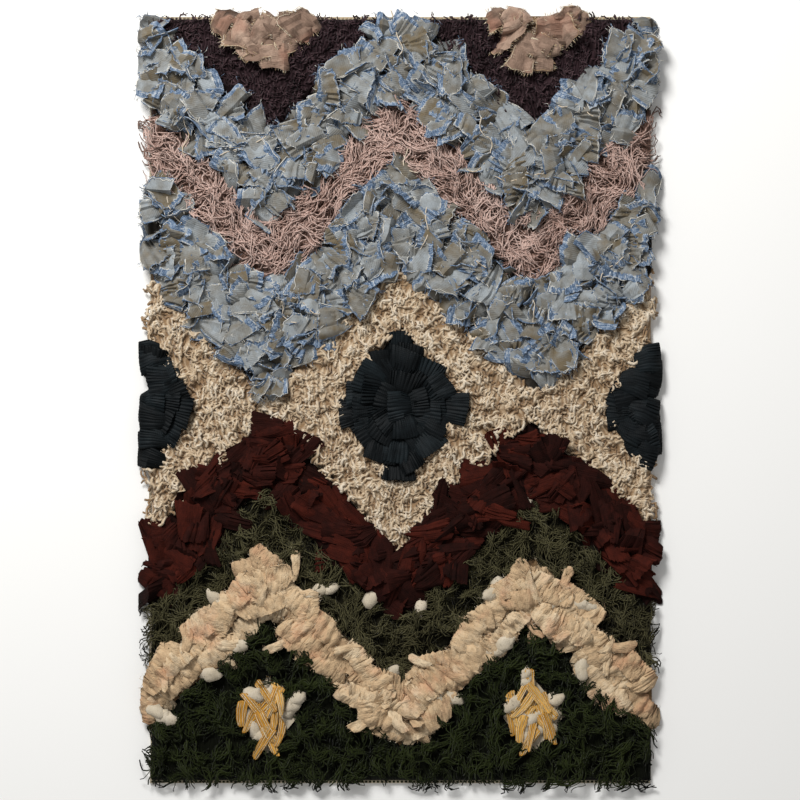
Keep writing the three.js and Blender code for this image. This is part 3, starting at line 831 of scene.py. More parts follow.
def strands(rng, knots, ways, surface, form):
    """Lengths of yarn in bunches, that run both ways from their knots along the lie of the field.
    ways: the lie at each knot. whorl, stray: how far apart whorls of the lie are, and how far it
    turns from one to the next. loose, splay: how far the lengths of a bunch start apart, and how far
    they part. crimp, curl: angle and length of their waves. apart: how little the waves of a bunch go
    together. turn: how far a length strays at each step. loft: how high some bunches lie over others.
    ripple: how far a length goes up and down. sunk: how many of its radii it lies over the mound."""
    each, half = form["bunch"], form["points"] // 2
    bunch = np.repeat(np.arange(len(knots)), each)
    count = len(bunch)
    turns = rng.uniform(0, 2 * math.pi, (2, 4))
    pace = 2 * math.pi / (form["whorl"] * rng.uniform(0.7, 1.7, 4))

    def lie(spots):
        along = spots[:, :1] * np.cos(turns[0]) + spots[:, 1:] * np.sin(turns[0])
        return form["stray"] * np.sin(along * pace + turns[1]).sum(axis=1) / 1.4

    start = knots[bunch] + rng.normal(0, form["loose"], (count, 2))
    step = rng.uniform(*form["length"], count) / (2 * half)
    own = ways[bunch] + rng.normal(0, form["splay"], count)
    own = own + rng.normal(0, form["splay"], len(knots))[bunch]
    phase = rng.uniform(0, 2 * math.pi, len(knots))[bunch] + rng.normal(0, form["apart"], count)
    curl = form["curl"] * rng.uniform(0.7, 1.6, len(knots))[bunch]
    wave = phase[:, None] + 2 * math.pi * (step / curl)[:, None] * np.arange(-half, half + 1)
    crimp = form["crimp"] * rng.uniform(0.4, 1.3, len(knots))[bunch]
    bent = own[:, None] + crimp[:, None] * np.sin(wave)
    bent += np.cumsum(rng.normal(0, form["turn"], wave.shape), axis=1)
    flat = np.repeat(start[:, None], 2 * half + 1, axis=1)
    for way in (-1, 1):
        for k in range(half):
            here, there = half + way * k, half + way * (k + 1)
            angle = lie(flat[:, here]) + bent[:, there]
            ahead = np.stack((np.cos(angle), np.sin(angle)), axis=-1)
            flat[:, there] = flat[:, here] + way * step[:, None] * ahead
    under = surface[cells_at(flat)]
    eased = under.copy()
    eased[:, 1:-1] = (under[:, :-2] + 2 * under[:, 1:-1] + under[:, 2:]) / 4
    loft = form["loft"] * rng.random(len(knots))[bunch]
    loft = loft + form["radius"] * rng.uniform(*form["sunk"], count)
    high = np.maximum(eased, under) + loft[:, None] + form["ripple"] * np.sin(0.6 * wave + 1.6)
    paths = np.concatenate((flat, high[..., None]), axis=-1)
    for end, inner in ((0, 1), (-1, -2)):
        stub = paths[:, end] - paths[:, inner]
        stub *= 0.7 * form["radius"] / np.linalg.norm(stub, axis=-1, keepdims=True)
        paths[:, end] = paths[:, inner] + stub
    paths = drooping(paths)
    paths[..., 2] = np.maximum(paths[..., 2], 2 * MM)
    tone = rng.normal(0, 0.13, len(knots))[bunch] + rng.normal(0, 0.1, count)
    return paths, tone


def run_of(places, names, reach):
    """The way that some fields run at each place, from the lie of the field round about."""
    ways = []
    for place in places:
        column, row = cells_at(place)
        wide = round(reach / MAP_STEP)
        window = OWNER[max(column - wide, 0) : column + wide, max(row - wide, 0) : row + wide]
        x, y = np.nonzero(np.isin(window, [FIELDS.index(name) for name in names]))
        spread = np.cov(x, y)
        ways.append(0.5 * math.atan2(2 * spread[0, 1], spread[0, 0] - spread[1, 1]))
    return np.array(ways)


def kept_in(paths, names, least):
    """Paths drawn in until that share of their points lies over their own fields, and which of
    them are to be kept: those that neither stay out nor have rags lying on them."""
    for draw in (0.6, 0.6, 1.0):
        own = in_fields(paths, names) | (OWNER[cells_at(paths)] < 0)
        out = own.mean(axis=1) < least
        middle = paths[out, :, :2].mean(axis=1, keepdims=True)
        paths[out, :, :2] = middle + draw * (paths[out, :, :2] - middle)
    under = (HEIGHT[cells_at(paths)] > paths[..., 2] + 1 * MM).mean(axis=1)
    return ~out & (under < 0.45)


def mound_mesh(name, nodes, surface, form):
    """The matted mass of the knots under the strands: a lumpy top, its sides and a flat foot.
    matted: the lightest painted shade of it, which keeps it dark under the strands."""
    stride = MASS_STEP
    low = np.ceil((GROUND_LOW[:2] - MAP_LOW) / MAP_STEP / stride).astype(int)
    high = np.floor((GROUND_HIGH[:2] - MAP_LOW) / MAP_STEP / stride).astype(int)
    own = np.isin(OWNER, [FIELDS.index(node) for node in nodes])
    own = own[stride // 2 :: stride, stride // 2 :: stride]
    kept = np.zeros_like(own)
    kept[low[0] : high[0], low[1] : high[1]] = own[low[0] : high[0], low[1] : high[1]]
    shape = bmesh.new()
    corners = {}

    def corner(column, row, top):
        if (column, row, top) not in corners:
            x, y = MAP_LOW + MAP_STEP * stride * np.array((column, row))
            z = surface[column * stride, row * stride]
            within = kept[column - 1 : column + 1, row - 1 : row + 1].all()
            z = SEAT + (z - SEAT) * (1 if within else 0.4) if top else SEAT
            corners[column, row, top] = shape.verts.new((x, y, z))
        return corners[column, row, top]

    for i, j in np.argwhere(kept):
        ring = ((i, j), (i + 1, j), (i + 1, j + 1), (i, j + 1))
        shape.faces.new([corner(*spot, True) for spot in ring])
        shape.faces.new([corner(*spot, False) for spot in reversed(ring)])
        beyond = ((i, j - 1), (i + 1, j), (i, j + 1), (i - 1, j))
        for near, far, next_cell in zip(ring, ring[1:] + ring[:1], beyond):
            if not kept[next_cell]:
                shape.faces.new([corner(*near, True), corner(*near, False),
                                 corner(*far, False), corner(*far, True)])
    foot = [vertex for (_, _, top), vertex in corners.items() if not top]
    level = foot[0].co.z
    lines = [edge for edge in shape.edges if all(vertex.co.z == level for vertex in edge.verts)]
    bmesh.ops.dissolve_limit(shape, angle_limit=0.01, verts=foot, edges=lines)
    for face in shape.faces:
        face.smooth = True
    mesh = bpy.data.meshes.new(name)
    shape.to_mesh(mesh)
    shape.free()
    heights = np.array([vertex.co.z for vertex in mesh.vertices])
    shade = mesh.attributes.new("shade", "FLOAT", "POINT")
    # Painted shade: the mass is darker in its creases, and never lighter than its cap, as it lies under
    # the strands.
    tone = np.minimum(shaded_by_height(heights, form), form["matted"])
    shade.data.foreach_set("value", tone.astype(np.float32))
    return mesh


def shaded_by_height(heights, form):
    """A painted shade: dark low down in the creases between the mounds, and lighter on top of them.
    deep: how far it is so."""
    share = (heights - form["low"]) / form["rise"]
    return 0.5 + form["deep"] * (np.clip(share, 0, 1.2) - 0.75)


def yarn_field(seed, piece, nodes, form, material):
    """Fields of yarn: the strands, which stand for the solids, and the mass of knots under them.
    along, heading, swing: whether the yarn runs along its field, at what angle to that or to the
    width of the rug, and how far it strays. own: the share of a strand that stays over its field."""
    rng = np.random.default_rng(seed)
    knots, surface = mounded(rng, nodes, form)
    ways = form["heading"] + form["swing"] * rng.uniform(-1, 1, len(knots))
    if form["along"]:
        ways = ways + run_of(knots, nodes, reach=50 * MM)
    paths, tone = strands(rng, knots, ways, surface, form)
    kept = kept_in(paths, nodes, form["own"])
    paths, tone = paths[kept], tone[kept]
    radius = form["radius"] * rng.uniform(0.65, 1.25, len(paths))
    # Painted shade: each strand is darker where it lies low and lighter where it lies high, on top of
    # its bunch's own tone.
    shade = shaded_by_height(paths[..., 2], form) + tone[:, None]
    mesh = tube_mesh(piece, paths, radius, form["sides"], shade)
    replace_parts(placed(piece, mesh, material, nodes[0]), *nodes)
    mesh = mound_mesh(piece + "_knots", nodes, surface, form)
    placed(piece + "_knots", mesh, material, None)
    own = np.isin(OWNER, [FIELDS.index(node) for node in nodes])
    HEIGHT[own] = np.maximum(HEIGHT[own], surface[own] + form["loft"])
    np.maximum.at(HEIGHT, cells_at(paths), paths[..., 2] + form["radius"])


# Soft cotton, unevenly dyed: a chalky pink, painted lighter on top and brown down in the creases as
# shade, and no shine.
pink_yarn = yarn("dusty_pink_cotton", ("#62493e", "#a38579", "#c8aca0"), fibre=1.4 * MM,
                 blotch=25 * MM)
yarn_field(23, "pink_yarn_strands", ["pink_yarn"], PINK, pink_yarn)


# Aubergine pile
# Two fields of deep plum wool at the head. The pile is short and dense: each tuft is knotted in,
# clipped close, and matted down by use.

AUBERGINE = {
    "spacing": 9 * MM, "mound": 8 * MM, "low": 9.5 * MM, "rise": 4.5 * MM, "deep": 0.6,
    "bunch": 5, "loose": 3 * MM, "length": (8 * MM, 18 * MM), "points": 5, "radius": 1.0 * MM,
    "along": False, "heading": 1.5, "swing": 3.1, "whorl": 25 * MM, "stray": 0.8, "splay": 0.5,
    "turn": 0.2, "crimp": 0.4, "curl": 10 * MM, "apart": 1.5, "loft": 0.8 * MM, "ripple": 0.3 * MM,
    "sunk": (0, 2), "own": 0.8, "sides": 3, "matted": 0.3,
}
# Deep-dyed wool: plum on the tufts and painted nearly black between them as shade, with a faint bloom
# of fine ends.
aubergine_wool = yarn("aubergine_wool", ("#140a0c", "#2f2124", "#4a383b"), fibre=1.6 * MM,
                      blotch=30 * MM, sheen=0.04)
yarn_field(31, "aubergine_tufts", ["aubergine_pile_left", "aubergine_pile_right"], AUBERGINE,
           aubergine_wool)


# Cream yarn
# Thick undyed cotton yarn, crimped from the cloth that it was unravelled from. It is knotted in close
# rows of small curls, and a few thinner ends of it lie over the denim.

CREAM = {
    "spacing": 11.4 * MM, "mound": 9.5 * MM, "low": 9.5 * MM, "rise": 8 * MM, "deep": 0.8,
    "bunch": 3, "loose": 4.5 * MM, "length": (20 * MM, 40 * MM), "points": 9, "radius": 1.8 * MM,
    "along": False, "heading": 0.0, "swing": 3.1, "whorl": 40 * MM, "stray": 0.3, "splay": 0.5,
    "turn": 0.3, "crimp": 1.2, "curl": 19 * MM, "apart": 2.0, "loft": 1.6 * MM, "ripple": 0.8 * MM,
    "sunk": (-0.5, 0.6), "own": 0.75, "sides": 4, "matted": 0.25,
}
# Undyed cotton: a warm off-white, dry and matt, painted browner down in the creases as shade.
cream_yarn = yarn("undyed_cotton", ("#8a6f52", "#c3ae91", "#d6c8b3"), fibre=2.4 * MM, blotch=22 * MM)
yarn_field(41, "cream_yarn_curls", ["cream_yarn"], CREAM, cream_yarn)

# The thinner ends, which are laid on top of the rags.
STRING = {
    **CREAM, "spacing": 88 * MM, "bunch": 1, "loose": 0, "length": (40 * MM, 90 * MM), "points": 15,
    "radius": 0.65 * MM, "crimp": 0.4, "curl": 50 * MM, "turn": 0.15, "loft": 0, "ripple": 0,
    "sunk": (0.5, 2),
}
rng = np.random.default_rng(42)
places = scattered(rng, ["denim_rags_upper", "denim_rags_lower"], STRING["spacing"], 20 * MM)
ways = rng.uniform(0, 2 * math.pi, len(places))
paths, tone = strands(rng, places, ways, HEIGHT, STRING)
# The strings lie on top, so they take the light end of the painted shade by height, as the tops of the
# curls do.
threads_placed("cream_strings", paths, STRING["radius"], 0.9 + tone, cream_yarn,
               STRING["sides"])


# Black pleated rags
# Lengths cut from a finely pleated cloth, sewn down by their heads in rings, from the rim of the
# lozenge inwards, so that every hem points outwards and lies over the ring outside it.

BLACK = {
    **UNFOLDED, "length": (36 * MM, 46 * MM), "width": (36 * MM, 52 * MM), "thick": 1.0 * MM,
    "columns": 36, "rows": 5, "border": 0.03, "skew": 0.12, "round": 0.12, "jag": 0.4 * MM,
    "gather": 0.55, "sway": 3 * MM, "curl": (-20, 20), "dome": 9 * MM, "crumple": 2.4 * MM,
    "wave": 40 * MM, "pleat": 1.6 * MM, "pleat_pitch": 4.6 * MM, "pleated": (0.7, 1.3), "sharp": 60,
    "spread": 0.35, "tilt": (4, 24), "fill": 14 * MM, "fill_spread": 0.4, "fill_tilt": (0, 8),
}
SHORT_OF_EDGE = 2 * MM
BLACK_NODES = ["black_rags_middle", "black_rags_left", "black_rags_right"]
LOZENGE = {"black_rags_middle": 0, "black_rags_left": -335 * MM, "black_rags_right": 335 * MM}
LOZENGE_HALF, LOZENGE_Y = np.array((76 * MM, 98 * MM)), -7 * MM
RINGS, RAG_STEP = (0.8, 0.55, 0.28, 0.0), 27 * MM
RIM_WIDTH = 26 * MM  # the strip along the rug's long edges that is filled up with more rags
WEAVE_PITCH = 2.4 * MM


def plain_cloth(name, colours, crinkle, roughness, sheen, stain=None):
    """A woven rag: fine cross threads, creases along it, each rag lighter or darker, and painted shade
    in the creases and low down.
    crinkle: width, length and height of the creases. stain: a second colour that has run into it in
    places."""
    material = started(name)
    place = add(material, "ShaderNodeTexCoord").outputs["Object"]
    cloth = add(material, "ShaderNodeAttribute", attribute_name="cloth").outputs["Vector"]
    shade = add(material, "ShaderNodeAttribute", attribute_name="shade").outputs["Fac"]
    cloud = add(material, "ShaderNodeTexNoise", {
        "Vector": place, "Scale": 1 / (12 * MM), "Detail": 4.0,
    })
    grain = add(material, "ShaderNodeTexNoise", {
        "Vector": place, "Scale": 1 / (1.8 * MM), "Detail": 2.0,
    })
    tone = add(material, "ShaderNodeMath", {0: cloud.outputs["Fac"], 1: 0.8, 2: -0.4},
               operation="MULTIPLY_ADD")
    speck = add(material, "ShaderNodeMath", {0: grain.outputs["Fac"], 1: 0.4, 2: -0.2},
                operation="MULTIPLY_ADD")
    mixed = add(material, "ShaderNodeMath", {0: tone.outputs["Value"], 1: speck.outputs["Value"]})
    mixed = add(material, "ShaderNodeMath", {0: mixed.outputs["Value"], 1: shade})
    colour = toned(material, colours, mixed.outputs["Value"])
    if stain:
        pool = add(material, "ShaderNodeTexNoise", {
            "Vector": place, "Scale": 1 / (35 * MM), "Detail": 3.0,
        })
        run = add(material, "ShaderNodeMapRange", {
            "Value": pool.outputs["Fac"], "From Min": 0.52, "From Max": 0.72, "To Max": 0.4,
        })
        colour = add(material, "ShaderNodeMix", {
            "Factor": run.outputs["Result"], 6: colour, 7: linear(stain),
        }, data_type="RGBA").outputs[2]
    # Threads lie about 0.5 mm apart. They are drawn at 2.4 mm so that they show.
    threads = [add(material, "ShaderNodeTexWave", {
        "Vector": cloth, "Scale": LINES / WEAVE_PITCH, "Distortion": 0.5,
    }, bands_direction=way).outputs["Fac"] for way in "XY"]
    crossed = add(material, "ShaderNodeMath", {0: threads[0], 1: threads[1]}, operation="MULTIPLY")
    relief = add(material, "ShaderNodeMath", {0: crossed.outputs["Value"], 1: grain.outputs["Fac"]})
    bump = add(material, "ShaderNodeBump", {
        "Height": relief.outputs["Value"], "Strength": 0.4, "Distance": 0.4 * MM,
    })
    drawn = add(material, "ShaderNodeMapping", {
        "Vector": cloth, "Scale": (1 / crinkle[0], 1 / crinkle[1], 0),
    })
    crease = add(material, "ShaderNodeTexNoise", {
        "Vector": drawn.outputs["Vector"], "Scale": 1.0, "Detail": 3.0, "Distortion": 0.8,
    })
    bump = add(material, "ShaderNodeBump", {
        "Height": crease.outputs["Fac"], "Normal": bump.outputs["Normal"], "Distance": crinkle[2],
    })
    # Painted shade: the colour is darkened to 0.68 down in the creases of the crinkle.
    sunk = add(material, "ShaderNodeMapRange", {
        "Value": crease.outputs["Fac"], "From Min": 0.32, "From Max": 0.5, "To Min": 0.68,
    })
    colour = add(material, "ShaderNodeMix", {
        "Factor": 1.0, 6: colour, 7: sunk.outputs["Result"],
    }, data_type="RGBA", blend_type="MULTIPLY").outputs[2]
    # Painted shade: the cloth is darker the lower it lies, down to 0.4 of its colour at the knots.
    colour = shaded_to_roots(material, colour, least=0.4)
    return finished(material, colour, bump.outputs["Normal"], roughness, sheen)


def rags_placed(rng, name, laid, form, shades, material, node):
    """A piece of rags, each of a shade of its own between two, which may stand for a solid."""
    shade = rng.uniform(*shades, len(laid[0]))
    placed(name, rag_mesh(name, *laid, form, {"shade": shade}), material, node)


def ringed(rng, middle, half):
    """Places on rings inside a lozenge, the outermost first, and the way out from each."""
    places, ways = [], []
    for ring in RINGS:
        count = max(round(4 * ring * np.hypot(*half) / RAG_STEP), 1)
        for turn in (np.arange(count) + rng.random()) * 4 / count:
            side, share = int(turn), turn % 1
            corners = np.array(((1, 0), (0, 1), (-1, 0), (0, -1), (1, 0)))
            spot = corners[side % 4] * (1 - share) + corners[side % 4 + 1] * share
            places.append(middle + ring * half * spot + rng.normal(0, 2 * MM, 2))
            ways.append(math.atan2(spot[1], spot[0]) - 0.5 * math.pi)
    return np.array(places), np.array(ways)


# Smooth cloth with its pleats set by heat: blue-black, with a low gloss along their crests.
black_cloth = plain_cloth("black_pleated_cloth", ("#07090a", "#0f1315", "#1b2225"),
                          crinkle=(5 * MM, 25 * MM, 0.6 * MM), roughness=0.6, sheen=0.0)
# The knots under the rags get hardly any light, and show as a flat black.
black_root = yarn("black_roots", ("#050606", "#0b0d0d", "#121515"), fibre=3 * MM, blotch=20 * MM,
                  sheen=0.0)
for seed, node in enumerate(BLACK_NODES, start=51):
    rng = np.random.default_rng(seed)
    places, ways = ringed(rng, np.array((LOZENGE[node], LOZENGE_Y)), LOZENGE_HALF)
    inside = np.all(np.abs(places) < GROUND_HIGH[:2] - SHORT_OF_EDGE, axis=1)
    laid = laid_rags(rng, places[inside], BLACK, ways[inside], BLACK["spread"], BLACK["tilt"])
    places = bare_places(rng, [node], BLACK["fill"])
    places = places[np.abs(places[:, 0]) > GROUND_HIGH[0] - RIM_WIDTH]
    ways = np.where(places[:, 0] > 0, -0.5, 0.5) * math.pi
    more = laid_rags(rng, places, BLACK, ways, BLACK["fill_spread"], BLACK["fill_tilt"])
    laid = together(laid, more)
    rags_placed(rng, node + "_cloth", laid, BLACK, (0.2, 0.8), black_cloth, node)
bed_of("black_knots", BLACK_NODES, black_root)


# Maroon rags
# Strips torn from thin maroon cotton, gathered at the knot so that creases fan out along them,
# with jagged ends that stick out.

MAROON = {
    **UNFOLDED, "length": (42 * MM, 70 * MM), "width": (26 * MM, 44 * MM), "thick": 1.0 * MM,
    "columns": 17, "rows": 5, "border": 0.05, "skew": 0.4, "round": 0.1, "jag": 1.2 * MM,
    "gather": 0.4, "sway": 4 * MM, "curl": (-60, 40), "open": 0.1, "over": 0.2, "fold": (20, 50),
    "dome": 3 * MM, "crumple": 3.0 * MM, "wave": 30 * MM, "pleat": 2.7 * MM,
    "pleat_pitch": 12 * MM, "pleated": (0.0, 1.3), "sharp": 45,
    "spacing": 21 * MM, "inset": 3 * MM, "spread": 0.8, "tilt": (-15, 28),
    "fill": 20 * MM, "fill_tilt": (-10, 10),
}
# Dyed cotton, washed thin: a dry dark red-brown, lighter on the ridges and painted almost black in the
# creases as shade.
maroon_cloth = plain_cloth("maroon_cotton", ("#120503", "#2a0e09", "#481a10"),
                           crinkle=(5 * MM, 24 * MM, 2 * MM), roughness=0.9, sheen=0.0)
# The knots under the rags lie in their shade, and show as a red that is nearly black.
maroon_root = yarn("maroon_roots", ("#0b0403", "#170806", "#220d0a"), fibre=3 * MM, blotch=20 * MM,
                   sheen=0.0)
rng = np.random.default_rng(61)
places = scattered(rng, ["maroon_rags"], MAROON["spacing"], MAROON["inset"])
ways = run_of(places, ["maroon_rags"], reach=60 * MM)
ways = ways + rng.choice((-0.5, 0.5), len(places)) * math.pi
laid = laid_rags(rng, places, MAROON, ways, MAROON["spread"], MAROON["tilt"])
places = bare_places(rng, ["maroon_rags"], MAROON["fill"])
ways = rng.uniform(0, 2 * math.pi, len(places))
laid = together(laid, laid_rags(rng, places, MAROON, ways, 0, MAROON["fill_tilt"]))
rags_placed(rng, "maroon_rags_cloth", laid, MAROON, (0.15, 0.85), maroon_cloth, "maroon_rags")
bed_of("maroon_knots", ["maroon_rags"], maroon_root)


# Olive yarn
# Fine wool yarn in a greyed olive. It is knotted in bunches that are wavy and matted from use, and
# they lie in soft whorls between the maroon and the peach.

OLIVE = {
    "spacing": 15 * MM, "mound": 12 * MM, "low": 7.5 * MM, "rise": 8 * MM, "deep": 0.9,
    "bunch": 10, "loose": 3.2 * MM, "length": (30 * MM, 62 * MM), "points": 9, "radius": 0.75 * MM,
    "along": False, "heading": 1.57, "swing": 0.9, "whorl": 60 * MM, "stray": 1.0, "splay": 0.22,
    "turn": 0.18, "crimp": 0.55, "curl": 18 * MM, "apart": 0.6, "loft": 6 * MM, "ripple": 1.2 * MM,
    "sunk": (0, 2), "own": 0.72, "sides": 3, "matted": 0.45,
}
# Worn wool: a dull grey-green on the bunches, painted nearly black between them as shade, with a low
# fuzz.
olive_yarn = yarn("olive_wool", ("#100e05", "#2d2a17", "#524e35"), fibre=1.2 * MM, blotch=25 * MM,
                  sheen=0.04)
yarn_field(71, "olive_yarn_strands", ["olive_yarn"], OLIVE, olive_yarn)


# Peach rags
# Wide strips of a soft peach crepe, scrunched up along the band so that folds run across them, with
# narrow ends and short pale threads that stick out. The two half lozenges at the head are flatter
# pieces of a browner twill, with stitching along their edges.

PEACH = {
    **UNFOLDED, "length": (24 * MM, 38 * MM), "width": (40 * MM, 76 * MM), "thick": 1.2 * MM,
    "columns": 26, "rows": 6, "border": 0.05, "skew": 0.3, "round": 0.16, "jag": 0.7 * MM,
    "gather": 0.9, "curl": (-35, 20), "dome": 6.5 * MM, "crumple": 3.4 * MM, "wave": 21 * MM,
    "pleat": 2.4 * MM, "pleat_pitch": 9 * MM, "pleated": (0.6, 1.4), "waver": 1.1, "sharp": 75,
    "spacing": 27 * MM, "inset": 7 * MM, "spread": 0.25, "tilt": (-14, 14),
    "fill": 14 * MM, "fill_spread": 0.6, "fill_tilt": (-6, 6), "frays": (20, (2 * MM, 7 * MM), 0.2),
}
PATCH = {
    **PEACH, "length": (38 * MM, 54 * MM), "width": (30 * MM, 44 * MM), "columns": 10, "rows": 9,
    "border": 0.1, "round": 0.08, "jag": 0.8 * MM, "gather": 0.7, "sway": 3 * MM, "curl": (-60, 20),
    "open": 0.15, "over": 0.15, "fold": (20, 55), "dome": 5 * MM, "crumple": 3.0 * MM,
    "wave": 20 * MM, "pleat": 0.0, "creases": (1, 2), "crease": (15, 55), "sharp": 30,
    "spacing": 17 * MM, "inset": 14 * MM, "spread": 3, "frays": (70, (2 * MM, 7 * MM), 0.1),
}
ENDS = {
    **PEACH, "length": (26 * MM, 42 * MM), "width": (10 * MM, 16 * MM), "columns": 9, "rows": 8,
    "skew": 0.4, "gather": 0.8, "sway": 4 * MM, "curl": (-50, 30), "dome": 3 * MM,
    "crumple": 1.6 * MM, "pleat": 1.3 * MM, "pleat_pitch": 6 * MM,
    "spacing": 38 * MM, "inset": 30 * MM, "spread": 0.8, "tilt": (-20, 0),
    "frays": (14, (2 * MM, 6 * MM), 0.2),
}
ENDS_ASIDE = 26 * MM  # how far from the middle of the band its ends lie
PEACH_RUN = 40 * MM  # how far round about the way of the band is read
PEACH_NODES = ["peach_rags_band", "peach_rags_left", "peach_rags_right"]
# Cotton crepe, crinkled as it is woven: dry, chalky and pale, with a pink that has run in places.
peach_cloth = plain_cloth("peach_crepe", ("#977a5d", "#c6aa86", "#dcc9aa"),
                          crinkle=(4 * MM, 9 * MM, 2.6 * MM), roughness=0.95, sheen=0.1,
                          stain="#c47d5c")
# Cotton twill, closer and flatter than the crepe: a dusty brown-pink, soiled a little redder.
patch_cloth = plain_cloth("peach_twill", ("#57453a", "#856e5f", "#b79d8a"),
                          crinkle=(5 * MM, 16 * MM, 1.8 * MM), roughness=0.9, sheen=0.05,
                          stain="#8e5a47")
# The knots under the rags are the same cotton, painted a darker brown as shade from the rags over them.
peach_root = yarn("peach_roots", ("#4a3522", "#6f563b", "#8a7050"), fibre=3 * MM, blotch=20 * MM)
# Single cotton threads, paler than the cloth that they come out of.
peach_thread = yarn("peach_threads", ("#a48766", "#c2ad8d", "#d9cfba"), fibre=1.5 * MM,
                    blotch=20 * MM, roughness=0.9, sheen=0.1)
for seed, node in enumerate(PEACH_NODES, start=81):
    rng = np.random.default_rng(seed)
    band = node == PEACH_NODES[0]
    form, cloth = (PEACH, peach_cloth) if band else (PATCH, patch_cloth)
    places = scattered(rng, [node], form["spacing"], form["inset"])
    ways = run_of(places, [node], PEACH_RUN) + rng.choice((0, 1), len(places)) * math.pi
    laid = laid_rags(rng, places, form, ways, form["spread"], form["tilt"])
    places = bare_places(rng, [node], form["fill"])
    ways = run_of(places, [node], PEACH_RUN)
    laid = together(laid, laid_rags(rng, places, form, ways, form["fill_spread"], form["fill_tilt"]))
    rags_placed(rng, node + "_cloth", laid, form, (0.3, 0.75), cloth, node)
    paths = frayed(rng, laid[0], *form["frays"])
    shade = rng.random(len(paths))
    threads_placed(node + "_frays", paths, 0.35 * MM, shade, peach_thread)
    if not band:
        paths = edge_threads(rng, laid[0], each=3)
        shade = rng.random(len(paths))
        threads_placed(node + "_stitching", paths, 0.5 * MM, shade, peach_thread)
# Narrow ends of the strips stick out here and there at both sides of the band.
rng = np.random.default_rng(84)
places = scattered(rng, PEACH_NODES[:1], ENDS["spacing"], ENDS["inset"])
ways = run_of(places, PEACH_NODES[:1], PEACH_RUN) + rng.choice((0, 1), len(places)) * math.pi
places = places + ENDS_ASIDE * np.stack((-np.sin(ways), np.cos(ways)), axis=-1)
laid = laid_rags(rng, places, ENDS, ways, ENDS["spread"], ENDS["tilt"])
rags_placed(rng, "peach_ends_cloth", laid, ENDS, (0.3, 0.8), peach_cloth, None)
paths = frayed(rng, laid[0], *ENDS["frays"])
shade = rng.random(len(paths))
threads_placed("peach_ends_frays", paths, 0.35 * MM, shade, peach_thread)
bed_of("peach_knots", PEACH_NODES, peach_root)


# Green yarn
# The field at the foot of the rug: dark bottle-green wool yarn, knotted in long locks that curl and
# fall over one another.

GREEN = {
    "spacing": 17.5 * MM, "mound": 14 * MM, "low": 7.5 * MM, "rise": 8 * MM, "deep": 0.9,
    "bunch": 10, "loose": 3.0 * MM, "length": (32 * MM, 62 * MM), "points": 9, "radius": 0.85 * MM,
    "along": False, "heading": -1.4, "swing": 1.0, "whorl": 42 * MM, "stray": 1.25, "splay": 0.18,
    "turn": 0.15, "crimp": 0.5, "curl": 26 * MM, "apart": 0.5, "loft": 7 * MM, "ripple": 1.0 * MM,
    "sunk": (0, 2), "own": 0.72, "sides": 3, "matted": 0.45,
}
# Deep-dyed wool: a dull green on the crowns of the locks, painted almost black down in the field as
# shade.
green_yarn = yarn("bottle_green_wool", ("#060801", "#151a07", "#282f12"), fibre=1.4 * MM,
                  blotch=25 * MM, sheen=0.04)
yarn_field(91, "green_yarn_locks", ["green_yarn"], GREEN, green_yarn)


# Yellow strips
# Two small sprays of narrow yellow cotton strips. Each strip is ridged by pale stitching along it, and
# the strips are sewn down over a bed of white wool.

YELLOW = {
    **UNFOLDED, "length": (34 * MM, 48 * MM), "width": (10 * MM, 15 * MM), "thick": 1.0 * MM,
    "columns": 19, "rows": 7, "border": 0.05, "skew": 0.4, "round": 0.1, "jag": 0.4 * MM,
    "gather": 0.7, "sway": 2 * MM, "curl": (-30, 50), "dome": 1.5 * MM, "crumple": 0.8 * MM,
    "wave": 24 * MM, "pleat": 1.1 * MM, "pleat_pitch": 3.8 * MM, "pleated": (0.7, 1.3), "sharp": 60,
    "spacing": 17 * MM, "inset": 4 * MM, "spread": 0.7, "tilt": (-8, 8),
}
STITCHED = (2, 6, 12, 16)  # the lines of a strip's grid that a thread runs along
STITCH_LIFT = 0.8 * MM
WOOL_BED = 11 * MM  # the height of the white wool under the strips
YELLOW_NODES = ["yellow_strips_left", "yellow_strips_right"]
# Dyed cotton: a warm, even yellow that the ridges break into fine light and dark lines, with painted
# shade in the creases.
yellow_cloth = plain_cloth("yellow_cotton", ("#9a6a28", "#c8933d", "#ddb062"),
                           crinkle=(2 * MM, 22 * MM, 1.2 * MM), roughness=0.85, sheen=0.05)
# Sewing cotton: pale lines on the yellow, a little smoother than yarn.
pale_thread = yarn("pale_stitching", ("#b9a67c", "#d6c8a4", "#ebe2c8"), fibre=1.5 * MM,
                   blotch=20 * MM, roughness=0.9)
# Raw wool, carded and not spun: a soft dull white, grey where it is soiled, without any gloss.
white_wool = yarn("raw_white_wool", ("#8a7d68", "#b9ac95", "#d9cebc"), fibre=1.3 * MM,
                  blotch=15 * MM, roughness=1.0, sheen=0.1, matting=0.12)
for seed, node in enumerate(YELLOW_NODES, start=101):
    rng = np.random.default_rng(seed)
    HEIGHT[OWNER == FIELDS.index(node)] = SEAT + WOOL_BED
    places = scattered(rng, [node], YELLOW["spacing"], YELLOW["inset"])
    laid = laid_rags(rng, places, YELLOW, np.zeros(len(places)), YELLOW["spread"], YELLOW["tilt"])
    rags_placed(rng, node + "_cloth", laid, YELLOW, (0.3, 0.8), yellow_cloth, node)
    paths = np.concatenate([laid[0][:, column] for column in STITCHED]) + (0, 0, STITCH_LIFT)
    shade = rng.random(len(paths))
    threads_placed(node + "_stitching", paths, 0.45 * MM, shade, pale_thread)
bed_of("yellow_knots", YELLOW_NODES, white_wool, share=0.6)


# White wool
# Raw white wool, left unspun. Short ends of it are pulled up through the ground in soft lumps, one to
# four in a row, in the yarn beside the rags and between the yellow strips.

